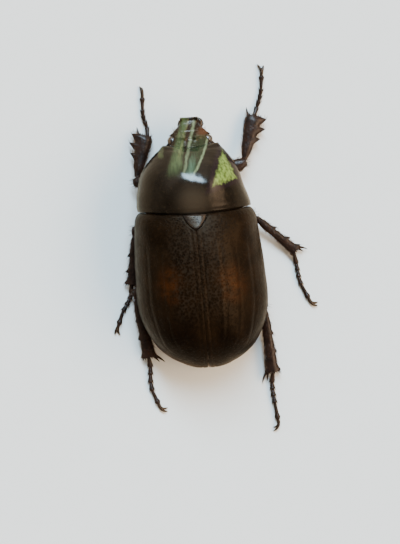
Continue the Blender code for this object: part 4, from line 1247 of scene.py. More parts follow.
@dataclass
class FrontShield:
    """The pronotum, with a beaded margin and a bowed front edge."""

    back: BackForm
    half_width: Stations = ((-10.9, 4.3), (-9.0, 6.1), (-7.0, 7.5), (-4.0, 8.4), (-1.5, 8.85), (0.0, 8.95))
    crown: Stations = ((-10.9, 8.3), (-9.5, 10.3), (-7.5, 12.9), (-5.5, 14.2), (-3.0, 14.4), (0.0, 13.4))
    rim: Stations = ((-10.9, 6.4), (-5.0, 6.0), (0.0, 5.7))
    front_y: float = -10.9
    lip: float = 0.5
    bow: float = 0.7
    bow_reach: float = 1.9
    roll: float = 0.42  # the shield is rolled, so its margins stand this far to the left
    rear_y: float = 0.1
    lip_swell: float = 0.06
    front_beads: Stations = ((0.05, 0.15, 0.25), (-0.03, 0.7, 0.25))  # height, place and reach
    rim_beads: Stations = ((0.07, 0.0, 0.04), (-0.05, 0.13, 0.05))
    rear_beads: Stations = ((0.04, 0.8, 0.3),)
    rear_round: Pair = (0.12, 0.28)  # depth and length
    dents: Stations = ((0.06, 6.0, 11), (0.012, 1.4, 12))
    rows: int = 150
    across: int = 181

    def bowed(self, x: Array, y: Array) -> Array:
        """How far the front edge stands back at x: a parabola that fades out behind it."""
        across = np.maximum(1.0 - (x / self.half_width[0][1]) ** 2, 0.0)
        fade = np.maximum(1.0 - np.abs(y - self.front_y) / self.bow_reach, 0.0)
        return self.bow * across * fade**2

    def rolled(self, y: Array) -> Array:
        """How far the margins stand to the left: half a sine wave along the shield."""
        return self.roll * np.sin(math.pi * np.clip(y / self.front_y, 0.0, 1.0))

    def build(self, shop: Workshop) -> None:
        """The shield as one closed body.

        Its cross-section is the dome x = w sin(a)^0.92, z = rim + (crown - rim) cos(a)^0.92,
        closed by a rounded lip and a level underside.

        Args:
            shop: makes the pieces.
        """
        share = np.linspace(0.0, 1.0, self.rows)[:, None] ** 0.85
        y = self.front_y + (self.rear_y - self.front_y) * share
        width, rim, crown = (through(s, y) for s in (self.half_width, self.rim, self.crown))
        angle = np.linspace(-math.pi / 2, math.pi / 2, self.across)[None]
        x = np.sign(angle) * width * np.abs(np.sin(angle)) ** DOME
        z = rim + (crown - rim) * np.maximum(np.cos(angle), 0.0) ** DOME
        turn = np.linspace(0.2, 1.0, 6)[None] * math.pi / 2
        lip_x = width + self.lip_swell - (self.lip + self.lip_swell) * (1 - np.cos(turn))
        lip_z = rim - self.lip * np.sin(turn)
        share = np.linspace(0.93, -0.93, 21)[None]
        low_x, low_z = (width - self.lip) * share, rim - self.lip + 0 * share
        xs = np.concatenate([x, lip_x, low_x, -lip_x[:, ::-1]], axis=1)
        zs = np.concatenate([z, lip_z, low_z, lip_z[:, ::-1]], axis=1)
        grid = np.stack([xs, y + 0 * xs, zs], axis=-1)
        height = np.zeros_like(xs)
        height[:, : self.across] = self.relief(grid[:, : self.across], np.abs(angle))
        grid = grid + height[..., None] * normals_of(grid)
        lowness = np.clip(1.0 - (grid[..., 2] - rim) / (crown - rim), 0.0, 1.0)
        shift = self.bowed(grid[..., 0], y) - self.back.bowed(grid[..., 0], y)
        grid[..., 0] += self.rolled(y) * lowness
        grid[..., 1] += shift
        shop.add("front_shield", [loft(grid)], Finish.SHIELD, ("pronotum",), "pronotum")

    def relief(self, points: Array, angle: Array) -> Array:
        """Height over the smooth dome: beads and grooves along its edges, and slight dents.

        Args:
            points: of the smooth dome.
            angle: of each from the top, a quarter turn at the rim.

        Returns:
            The height at each point.
        """
        y = points[..., 1]
        to_rim = math.pi / 2 - angle
        from_front = y - self.front_y
        height = beads(from_front, self.front_beads) + beads(to_rim, self.rim_beads)
        depth, length = self.rear_round
        height -= depth * (1 - ramp_up(self.rear_y - y, 0.0, length)) ** 2
        return height + beads(-y, self.rear_beads) + dents_of(points, self.dents)


@dataclass
class LegSizes:
    """One leg's places, on the side where it stands."""

    kind: str
    side_name: str
    knee: Triple
    ankle: Triple
    foot: tuple[Pair, ...]
    hook: float  # 0 splays the claws evenly, 1 or -1 hooks both towards +X or -X
    shift: float  # where the foot leaves the shin, outward from its middle
    shin_start: float = 1.0  # from the middle of the knee, clear of the femur's end
    spread: float = 0.55  # how far the first spur turns aside, against 1 along the shin
    splay: float = 1.0  # how wide the claws stand

    @property
    def side(self) -> int:
        """1 for the left and -1 for the right."""
        return SIDES[self.side_name]

    @property
    def name(self) -> str:
        """Such as fore_left."""
        return self.kind + "_" + self.side_name


LEGS = (
    LegSizes(
        "fore", "left", (9.1, -5.5, 2.3), (7.25, -12.95, 1.0),
        ((6.8, -14.35), (7.1, -15.25), (7.3, -16.15), (7.35, -17.1), (7.25, -19.1)),
        0.25, -0.5, shin_start=1.45, splay=0.35,
    ),
    LegSizes(
        "fore", "right", (-8.35, -7.6, 2.3), (-10.5, -15.0, 1.0),
        ((-11.1, -16.45), (-11.45, -17.35), (-11.75, -18.25), (-11.95, -19.25), (-12.15, -21.4)),
        0.2, 0.0,
    ),
    LegSizes(
        "middle", "left", (9.8, 2.3, 2.5), (10.85, 10.8, 1.05),
        ((11.05, 12.25), (11.4, 13.2), (11.95, 14.15), (12.55, 15.05), (13.4, 17.15)),
        -0.3, 0.1, shin_start=1.2,
    ),
    LegSizes(
        "middle", "right", (-9.3, 0.9, 2.5), (-15.85, 7.1, 1.05),
        ((-15.9, 9.2), (-16.0, 10.3), (-16.15, 11.4), (-16.45, 12.6), (-17.5, 14.85)),
        -0.75, -0.35,
    ),
    LegSizes(
        "hind", "left", (10.35, 12.4, 2.1), (8.75, 22.75, 1.1),
        ((8.72, 24.4), (8.82, 25.65), (8.87, 26.95), (8.7, 28.25), (7.85, 30.4)),
        -0.8, 0.15, spread=1.0,
    ),
    LegSizes(
        "hind", "right", (-10.2, 15.7, 2.1), (-10.9, 26.4, 1.1),
        ((-10.75, 28.15), (-10.8, 29.25), (-10.87, 30.4), (-11.0, 31.5), (-11.35, 34.15)),
        0.9, 0.15,
    ),
)


@dataclass
class LegForm:
    """The sizes that all legs share, and those of each pair."""

    back: BackForm
    coxae: dict = field(default_factory=lambda: {
        "fore": ((2.3, -5.6, 1.75), (1.9, 1.15, 1.2)),
        "middle": ((2.5, 3.5, 1.45), (1.9, 1.15, 1.1)),
        "hind": ((3.0, 9.0, 1.45), (2.5, 1.05, 1.1)),
    })
    femur: Stations = ((0.0, 0.5), (0.12, 0.86), (0.35, 1.18), (0.65, 1.1), (0.88, 0.85), (1.0, 0.62))
    femur_flatness: float = 0.74
    knee_radius: float = 0.7
    shins: dict = field(default_factory=lambda: {
        "fore": ((0.0, 0.5), (0.12, 0.74), (0.4, 0.98), (0.72, 1.26), (0.93, 1.28), (1.0, 1.05)),
        "middle": ((0.0, 0.42), (0.1, 0.54), (0.5, 0.62), (0.85, 0.78), (1.0, 0.9)),
        "hind": ((0.0, 0.48), (0.1, 0.64), (0.5, 0.8), (0.85, 1.0), (1.0, 1.12)),
    })
    shin_flatness: float = 0.6
    teeth: dict = field(default_factory=lambda: {
        "fore": ((0.42, 1.15, 0.44), (0.67, 1.4, 0.48), (0.92, 1.15, 0.5)),
        "middle": ((0.36, 0.7, 0.3), (0.7, 0.75, 0.33), (0.95, 0.7, 0.32)),
        "hind": ((0.34, 0.45, 0.3), (0.64, 0.6, 0.36), (0.95, 0.6, 0.36)),
    })
    tooth_lean: float = 0.41  # part of its height that a tooth leans towards the foot
    tooth_share: float = 0.912  # part of its height that it reaches outwards
    tooth_sunk: float = 0.2
    tooth_spread: float = 1.45  # of its root, against its radius
    end_spine: float = 0.34
    shin_root: float = 0.55  # length of the narrow root of the shin
    spurs: dict = field(default_factory=lambda: {"fore": (1.3,), "middle": (1.5, 1.1), "hind": (1.9, 1.4)})
    spur_swap: float = -0.3
    foot_radii: dict = field(default_factory=lambda: {
        "fore": (0.27, 0.38), "middle": (0.28, 0.42), "hind": (0.28, 0.46)
    })
    claw_segment: float = 0.45
    claw_reach: float = 1.25
    claw_root: float = 0.6
    claw_radius: float = 0.24

    def coxa(self, leg: LegSizes) -> tuple[Array, tuple[float, ...]]:
        """Centre and radii of a leg's first joint."""
        (x, y, z), radii = self.coxae[leg.kind]
        return np.array([leg.side * x + self.back.swerve(y), y, z]), radii

    def femur_line(self, leg: LegSizes) -> tuple[Array, Array]:
        """Where the femur leaves its coxa's surface, and where it ends just past the knee.

        Args:
            leg: whose femur it is.

        Returns:
            The two ends.
        """
        centre, radii = self.coxa(leg)
        knee = np.array(leg.knee)
        heading = unit(knee - centre)
        reach = 1.0 / np.linalg.norm(heading / radii)
        return centre + heading * (reach + 0.55), knee + heading * self.knee_radius * 0.5

    def roof(self, leg: LegSizes, x: Array, y: Array, margin: float) -> Array:
        """Top of the room that a coxa and femur need in the underside, or far below the floor.

        Over the coxa it is an ellipsoid's upper half, and over the femur a tube's.

        Args:
            leg: whose room it is.
            x: places across.
            y: places along.
            margin: clearance all round.

        Returns:
            The height of the roof at each place.
        """
        none = np.full(np.shape(x + y), FAR_BELOW)
        centre, radii = self.coxa(leg)
        a, b, c = (r + margin for r in radii)
        left = 1.0 - ((x - centre[0]) / a) ** 2 - ((y - centre[1]) / b) ** 2
        top = np.where(left > 0, centre[2] + c * np.sqrt(np.maximum(left, 0)), none)
        start, end = self.femur_line(leg)
        way = end - start
        flat = way[:2] / (way[:2] @ way[:2])
        share = np.clip((x - start[0]) * flat[0] + (y - start[1]) * flat[1], 0.0, 1.0)
        aside = np.hypot(x - start[0] - way[0] * share, y - start[1] - way[1] * share)
        radius = through(self.femur, share)
        left = 1.0 - (aside / (radius + margin)) ** 2
        tall = radius * self.femur_flatness + margin
        tube = np.where(left > 0, start[2] + way[2] * share + tall * np.sqrt(np.maximum(left, 0)), none)
        return np.maximum(top, tube)


@dataclass
class Trunk:
    """The underside: prothorax, thorax and abdomen, each hollowed for the legs it carries, and
    the soft waist that joins the first two."""

    back: BackForm
    shield: FrontShield
    legs: LegForm
    bed_margin: float = 0.3
    prothorax_belly: Stations = ((-10.3, 3.4), (-8.0, 1.8), (-5.5, 0.7), (-2.0, 0.9), (-0.35, 1.6))
    abdomen_belly: Stations = (
        (10.5, -0.6), (13.5, -0.6), (17.0, -0.45), (20.0, 0.4), (22.5, 2.0), (23.9, 3.3),
    )
    sternites: tuple[float, ...] = (12.4, 14.4, 16.4, 18.4, 20.3, 22.1)
    thorax_belly: Stations = (
        (0.3, 1.9), (0.5, 1.45), (0.9, 0.9), (1.4, 0.4), (2.0, 0.0), (2.8, -0.4), (3.6, -0.6),
        (10.2, -0.6),
    )
    prothorax_y: Pair = (-10.3, -0.2)
    prothorax_inset: float = 0.6
    prothorax_gap: float = 0.2  # beneath the underside of the shield
    prothorax_side: float = 0.4  # height of its upright flank
    thorax_y: Pair = (0.3, 10.3)
    seam: Triple = (5.9, 0.16, 0.22)  # place, depth and reach
    abdomen_y: Pair = (10.5, 23.22)
    step: Triple = (0.2, 0.06, 0.75)  # depth, and lengths of its two sides
    flank_gap: float = 0.3  # beneath the folded edge of the wing cases
    roundness: float = 1.7
    waist_width: Stations = ((-1.0, 8.0), (0.0, 7.9), (0.9, 7.2))
    waist_z: Triple = (2.3, 4.3, 4.55)  # belly, flank and top

    def build(self, shop: Workshop) -> None:
        """The three parts and the tan pile on them, and the waist.

        Args:
            shop: makes the pieces.
        """
        shop.add("waist", [loft(self.waist())], Finish.UNDERSIDE, (), "underside")
        parts = (
            ("prothorax", self.prothorax(), ("fore",), 1700, 1.3),
            ("thorax", self.thorax(), ("middle", "hind"), 3200, 1.25),
            ("abdomen", self.abdomen(), ("hind",), 1500, 0.9),
        )
        for name, grid, kinds, hairs, length in parts:
            room = np.full(grid.shape[:2], FAR_BELOW)
            for leg in LEGS:
                if leg.kind in kinds:
                    roof = self.legs.roof(leg, grid[..., 0], grid[..., 1], self.bed_margin)
                    room = np.maximum(room, roof)
            low = grid[..., 2] < self.back.rim_z + 0.6
            lifted = np.maximum(grid[..., 2], np.minimum(room, self.back.rim_z))
            grid[..., 2] = np.where(low, lifted, grid[..., 2])
            grid[..., 2] = np.maximum(grid[..., 2], 0.0)
            shop.add(name + "_wall", [loft(grid)], Finish.UNDERSIDE, (name,), "underside")
            self.pile(shop, name, grid, room, hairs, length)

    def pile(
        self, shop: Workshop, name: str, grid: Array, room: Array, hairs: int, length: float
    ) -> None:
        """Tan hair on the flanks and belly, lying back, thickest along the sides.

        Args:
            shop: makes the pieces.
            name: of the part.
            grid: rings of the part.
            room: height of the legs' room at each point.
            hairs: how many.
            length: their middle length.
        """
        skin = Skin(grid)
        x, z = grid[..., 0], grid[..., 2]
        below = (skin.normals[..., 2] < 0.35) & (z < self.back.rim_z + 0.4) & (z > room + 0.02)
        clear = np.clip(np.abs(skin.normals[..., 1]) < 0.85, 0, 1)
        sides = 0.25 + np.clip(np.abs(x) / 8.0, 0, 1)
        high_enough = ramp_up(z, 0.35, 0.9) + 0.02
        lie = (0.0, 1.0, 0.1)
        tuft = skin.tuft(below * clear * sides * high_enough, hairs, length, lie, 0.35, 0.028, len(name))
        tuft.lengths = np.minimum(tuft.lengths, 0.9 + tuft.roots[:, 2])
        keep_up = tuft.roots[:, 2] + tuft.lengths * (tuft.aims + tuft.bends)[:, 2] > 0.06
        parts = (tuft.roots, tuft.aims, tuft.bends, tuft.lengths)
        kept = [part[keep_up] for part in parts]
        tuft = Tuft(*kept, tuft.radius, tuft.spots[keep_up])
        shop.add_coat("pile_" + name, [tuft], Finish.TAN_HAIR)

    def bowl(self, half_width: Array, side_z: Array, belly: Array, steps: int) -> tuple[Array, Array]:
        """The lower half of a section: the belly rises to the flank as a power of the share.

        Args:
            half_width: of each ring.
            side_z: height of its flank.
            belly: height of its belly.
            steps: points in the half.

        Returns:
            X and Z of each point of each ring.
        """
        share = np.cos(np.linspace(0.0, math.pi, steps + 2)[1:-1])[None]
        return half_width * share, belly + (side_z - belly) * np.abs(share) ** self.roundness

    def tray(self, width: Array, top: Array, side: Array, belly: Array) -> tuple[Array, Array]:
        """A section that is level above: across its top, then back along the bowl.

        Args:
            width: half-width of each ring.
            top: height of its top.
            side: height of its flank.
            belly: height of its belly.

        Returns:
            X and Z of each point of each ring.
        """
        over = np.linspace(-1.0, 1.0, 31)[None]
        low_x, low_z = self.bowl(width, side, belly, 90)
        xs = np.concatenate([width * over * 0.99, low_x], axis=1)
        return xs, np.concatenate([top + 0 * over, low_z], axis=1)

    def prothorax(self) -> Array:
        """Rings of the first segment's underside, flat above beneath the shield."""
        y = np.linspace(*self.prothorax_y, 90)[:, None]
        width = through(self.shield.half_width, y) - self.prothorax_inset
        top = through(self.shield.rim, y) - self.shield.lip - self.prothorax_gap
        xs, zs = self.tray(width, top, top - self.prothorax_side, through(self.prothorax_belly, y))
        return np.stack([xs + self.shield.rolled(y), y - self.back.bowed(xs, y), zs], axis=-1)

    def waist(self) -> Array:
        """Rings of the membrane behind the shield, set in from both of its neighbours."""
        y = np.linspace(self.waist_width[0][0], self.waist_width[-1][0], 24)[:, None]
        belly, side, top = (level + 0 * y for level in self.waist_z)
        xs, zs = self.tray(through(self.waist_width, y), top, side, belly)
        return np.stack([xs, y - self.back.bowed(xs, y), zs], axis=-1)

    def section(self, y: Array, belly: Array, sunk: Array) -> Array:
        """Rings of the trunk under the wing cases.

        Args:
            y: places along, one for each ring.
            belly: height of the belly at each.
            sunk: how far the underside is drawn in at each.

        Returns:
            A grid of rings for loft.
        """
        width = self.back.half_width(y, self.back.inset) - sunk * 0.6
        rim, crown = self.back.rim(y), self.back.crown(y, self.back.inset)
        angle = np.linspace(-math.pi / 2, math.pi / 2, 31)[None]
        top_x = np.sign(angle) * width * np.abs(np.sin(angle)) ** DOME
        top_z = rim + (crown - rim) * np.maximum(np.cos(angle), 0.0) ** DOME
        side_z = rim - self.back.epipleuron - self.flank_gap
        low_x, low_z = self.bowl(width, side_z, belly + sunk, 110)
        xs = np.concatenate([top_x, low_x], axis=1) + self.back.swerve(y)
        zs = np.concatenate([top_z, low_z], axis=1)
        return np.stack([xs, y + 0 * xs, zs], axis=-1)

    def thorax(self) -> Array:
        """Rings of the second and third segments, with a seam between them."""
        y = np.linspace(*self.thorax_y, 110)[:, None]
        place, depth, reach = self.seam
        sunk = depth * bell(y - place, reach)
        return self.section(y, through(self.thorax_belly, y), sunk)

    def abdomen(self) -> Array:
        """Rings of the abdomen, with the edge of each ventral plate over the next one."""
        y = np.linspace(*self.abdomen_y, 260)[:, None]
        depth, steep, slow = self.step
        sunk = np.zeros_like(y)
        for edge in self.sternites:
            sunk += depth * np.clip((y - edge) / steep, 0, 1) * np.clip(1 - (y - edge) / slow, 0, 1)
        return self.section(y, through(self.abdomen_belly, y), sunk)


@dataclass
class TailPlate:
    """The pygidium behind the wing tips, with its fringe of tan hair."""

    back: BackForm
    centre: Triple = (0.0, 23.5, 3.3)
    radii: Triple = (4.1, 0.97, 1.05)
    hairs: int = 700
    fringe_y: Pair = (23.7, 24.3)
    fringe_half: float = 0.8

    def build(self, shop: Workshop) -> None:
        """A convex plate, part of a stretched globe, and hairs along its hind edge.

        Args:
            shop: makes the pieces.
        """
        grid = globe(self.centre, self.radii, 40)
        grid[..., 1] = np.maximum(grid[..., 1], self.centre[1])
        grid[..., 0] += self.back.swerve(grid[..., 1])
        grid += 0.02 * unevenness(grid, 1.2, 21)[..., None]
        shop.add("tail_plate", [loft(grid)], Finish.TAIL_PLATE, ("pygidium",), "underside")
        skin = Skin(grid)
        level = np.abs(grid[..., 2] - self.centre[2]) < self.fringe_half
        behind = ramp_up(grid[..., 1], *self.fringe_y) * level
        tuft = skin.tuft(behind, self.hairs, 0.5, (0.0, 0.35, -0.7), 0.3, 0.024, 31)
        shop.add_coat("fringe_tail", [tuft], Finish.TAN_HAIR)


# The head


@dataclass
class Head:
    """The head capsule with clypeus, ridge, tubercles, eyes, jaws, palps and feelers."""

    shield: FrontShield
    half_width: Stations = (
        (-15.2, 1.45), (-14.4, 1.55), (-13.8, 1.92), (-13.3, 2.38), (-12.8, 2.75), (-12.2, 3.0),
        (-11.2, 3.2), (-10.6, 3.2),
    )
    top: Stations = ((-15.2, 4.6), (-14.3, 4.85), (-13.2, 5.6), (-12.15, 6.6), (-11.2, 7.7), (-10.6, 7.9))
    middle: Stations = ((-15.2, 4.35), (-13.75, 4.45), (-12.7, 4.9), (-11.2, 5.3), (-10.6, 5.4))
    bottom: Triple = (3.95, 2.3, -13.05)  # in front, behind, and where it steps
    front_y: float = -15.2
    rear_y: float = -10.75
    tooth: Triple = (1.3, -15.12, 0.26)
    tooth_height: float = 0.75
    front_beads: Stations = ((0.16, 0.05, 0.2),)  # height, place and reach
    side_bead: float = 0.16
    ridge: Triple = (2.1, -12.25, 0.3)
    ridge_reach: float = 0.24
    grooves: Stations = ((-0.1, -12.95, 0.16),)
    tubercle: Triple = (0.95, 0.42, 0.5)
    eye: Triple = (2.82, -11.65, 5.15)
    eye_radius: float = 0.78
    canthus: Triple = (2.82, -12.4, 5.03)
    neck_gap: float = 0.45
    jaw_tucks: dict = field(default_factory=lambda: {1: 0.5, -1: 0.0})  # how far each is drawn in
    jaw_course: Stations = (
        (1.2, -13.2, 3.1), (1.4, -13.65, 3.0), (1.62, -14.0, 3.0), (1.75, -14.55, 3.1),
        (1.47, -15.25, 3.25),
    )
    jaw_tooth: Stations = ((1.85, -13.95, 3.1), (2.38, -14.25, 3.3))
    jaw_across: Stations = ((0, 0.5), (0.3, 0.58), (0.55, 0.58), (0.8, 0.38), (1.0, 0.08))
    jaw_tall: Stations = ((0, 0.42), (0.3, 0.44), (0.55, 0.42), (0.8, 0.3), (1.0, 0.08))
    palp_course: Stations = (
        (0.85, -12.3, 1.75), (1.0, -13.05, 1.6), (1.2, -13.7, 1.75), (1.4, -14.35, 2.0),
    )
    palp_radii: tuple[float, ...] = (0.25, 0.27, 0.31)
    feeler_course: Stations = (
        (2.3, -12.7, 2.95), (2.75, -12.05, 2.5), (3.75, -10.85, 2.35), (4.75, -9.25, 2.3),
    )
    whisker_count: int = 420
    whisker_room: Pair = (-11.6, 3.8)  # in front of this and below this

    def build(self, shop: Workshop) -> None:
        """The head and all that it carries.

        Args:
            shop: makes the pieces.
        """
        grid = self.capsule()
        shop.add("head_capsule", [loft(grid)], Finish.HEAD, ("head",), "pronotum")
        for name, side in SIDES.items():
            eye = globe((side * self.eye[0], *self.eye[1:]), (self.eye_radius,) * 3, 36)
            shop.add("eye_dome_" + name, [loft(eye)], Finish.EYE, ("eye_" + name,), "eyes")
            shop.add("jaw_" + name, self.jaw(side), Finish.CLAW, ("mandible_" + name,), "claws")
            shop.add("mouth_palp_" + name, self.palp(side), Finish.LEG, ("palp_" + name,), "legs")
            shop.add("feeler_" + name, self.feeler(side), Finish.LEG, ("antenna_" + name,), "legs")
        self.whiskers(shop, grid)

    def capsule(self) -> Array:
        """Rings of the capsule: half an ellipse above the middle height and half below it.

        The ridge, tubercles and margin raise it, and it is cupped round the eyes.

        Returns:
            A grid of rings for loft.
        """
        nose = self.front_y - 0.1 * np.sin(np.linspace(math.pi / 2, 0, 5))
        y = np.concatenate([nose, np.linspace(self.front_y + 0.04, self.rear_y, 190)])[:, None]
        shut = np.concatenate([np.linspace(0.25, 1.0, 5) ** 0.5, np.ones(190)])[:, None]
        angle = (np.arange(200) / 200 * 2 * math.pi)[None]
        width, middle, top = (through(s, y) for s in (self.half_width, self.middle, self.top))
        front, behind, step = self.bottom
        low = front + (behind - front) * ramp_up(y, step - 0.12, step + 0.12)
        x = width * np.cos(angle) * (0.9 + 0.1 * shut)
        rise = np.sin(angle)
        z = middle + np.where(rise > 0, (top - middle) * rise, (middle - low) * rise) * shut
        z += self.relief(x, y, width, rise)
        z += 0.018 * unevenness(np.stack([x, y + 0 * x, z], axis=-1), 0.8, 41) * (rise > 0)
        x = x * (1 + 0.18 * bell(y - self.canthus[1], 0.4) * bell(z - self.canthus[2], 0.35))
        y = y + self.shield.bowed(x, y + self.neck_gap)
        return self.cup(np.stack([x, y, z], axis=-1))

    def relief(self, x: Array, y: Array, width: Array, rise: Array) -> Array:
        """Height over the smooth capsule, on its upper side only.

        Args:
            x: places across.
            y: places along.
            width: half-width of the capsule at each.
            rise: sine of the turn round it, 1 at the top.

        Returns:
            The height at each place.
        """
        half_length, ridge_y, ridge_height = self.ridge
        aside = ramp_up(np.abs(x), half_length + 0.5, half_length - 0.5)
        height = ridge_height * bell(y - ridge_y, self.ridge_reach) * aside
        spot, reach, tall = self.tubercle
        height = height + tall * bell(np.hypot(np.abs(x) - spot, y - ridge_y), reach)
        tooth_x, tooth_y, tooth_reach = self.tooth
        height += self.tooth_height * bell(np.hypot(np.abs(x) - tooth_x, y - tooth_y), tooth_reach)
        height += beads(y - self.front_y, self.front_beads)
        margin = ramp_up(np.abs(x) / width, 0.86, 0.99) * ramp_up(y, -12.6, -13.3)
        height += self.side_bead * margin + beads(y, self.grooves) * aside
        return height * np.clip(rise * 2.5, 0, 1)

    def cup(self, grid: Array) -> Array:
        """Draws in what lies within each eye's socket, onto the inner half of a globe.

        Args:
            grid: rings of the capsule.

        Returns:
            The same rings, cupped.
        """
        radius = self.eye_radius + 0.07
        for side in SIDES.values():
            x = grid[..., 0] * side
            aside = (grid[..., 1] - self.eye[1]) ** 2 + (grid[..., 2] - self.eye[2]) ** 2
            wall = self.eye[0] - np.sqrt(np.maximum(radius**2 - aside, 0.0))
            inside = (aside < radius**2) & (x > wall)
            grid[..., 0] = np.where(inside, wall * side, grid[..., 0])
        return grid

    def mirrored(self, points: Stations | Array, side: int) -> Array:
        """A left-hand path on the given side."""
        return np.array(points, float) * [side, 1, 1]

    def jaw(self, side: int) -> list[Shell]:
        """A curved jaw with the tooth of its outer edge.

        Args:
            side: 1 for the left and -1 for the right.

        Returns:
            Its surfaces.
        """
        tuck = [self.jaw_tucks[side], 0, 0]
        course = self.mirrored(np.array(self.jaw_course) - tuck, side)
        root, tip = self.mirrored(np.array(self.jaw_tooth) - tuck, side)
        share = np.linspace(0, 1, 40)
        across, tall = through(self.jaw_across, share), through(self.jaw_tall, share)
        return [loft(sweep(smooth_path(course, 40), across, tall, 20, 0.05)), spike(root, tip, 0.28)]

    def palp(self, side: int) -> list[Shell]:
        """Three short segments.

        Args:
            side: 1 for the left and -1 for the right.

        Returns:
            Their surfaces.
        """
        joints = self.mirrored(self.palp_course, side)
        shells = []
        for start, end, radius in zip(joints[:-1], joints[1:], self.palp_radii):
            share = np.linspace(0, 1, 12)
            path = start + (end - start) * share[:, None]
            thick = radius * (0.62 + 0.38 * np.sin(math.pi * share**0.8))
            shells.append(loft(sweep(path, thick, thick, 14, 0.06)))
        return shells

    def feeler(self, side: int) -> list[Shell]:
        """A long scape, six beads and a club of three leaves.

        Args:
            side: 1 for the left and -1 for the right.

        Returns:
            Their surfaces.
        """
        start, elbow, end, tip = self.mirrored(self.feeler_course, side)
        share = np.linspace(0, 1, 14)
        scape = start + (elbow - start) * share[:, None]
        thick = 0.24 + 0.12 * np.sin(math.pi * share**1.3)
        shells = [loft(sweep(scape, thick, thick, 14, 0.08))]
        for i in range(6):
            reach = np.linspace(i / 6, (i + 1) / 6, 9)
            path = elbow + (end - elbow) * reach[:, None]
            thick = 0.2 + 0.13 * np.sin(math.pi * np.linspace(0.05, 0.95, 9))
            shells.append(loft(sweep(path, thick, thick, 12, 0.04)))
        for leaf, reach in ((-1, 0.93), (0, 1.0), (1, 0.96)):
            share = np.linspace(0.0, 1.0, 26)
            path = end + (tip - end) * (share * reach)[:, None]
            path += np.array([0.04, 0.03, 0.32]) * leaf * np.minimum(share * 3 + 0.3, 1.0)[:, None]
            wide = 0.62 * reach * np.sin(math.pi * (0.1 + 0.84 * share)) ** 0.55
            shells.append(loft(sweep(path, wide, wide * 0.26, 20, 0.05)))
        return shells

    def whiskers(self, shop: Workshop, grid: Array) -> None:
        """Tan hairs round the mouth, under the clypeus and behind the jaws.

        Args:
            shop: makes the pieces.
            grid: rings of the capsule.
        """
        skin = Skin(grid)
        y, z = grid[..., 1], grid[..., 2]
        before, below = self.whisker_room
        under = ((skin.normals[..., 2] < -0.1) & (z < below) & (y < before)).astype(float)
        tuft = skin.tuft(under, self.whisker_count, 0.9, (0.0, -0.75, -0.2), 0.35, 0.026, 51)
        shop.add_coat("fringe_mouth", [tuft], Finish.TAN_HAIR)


# The legs


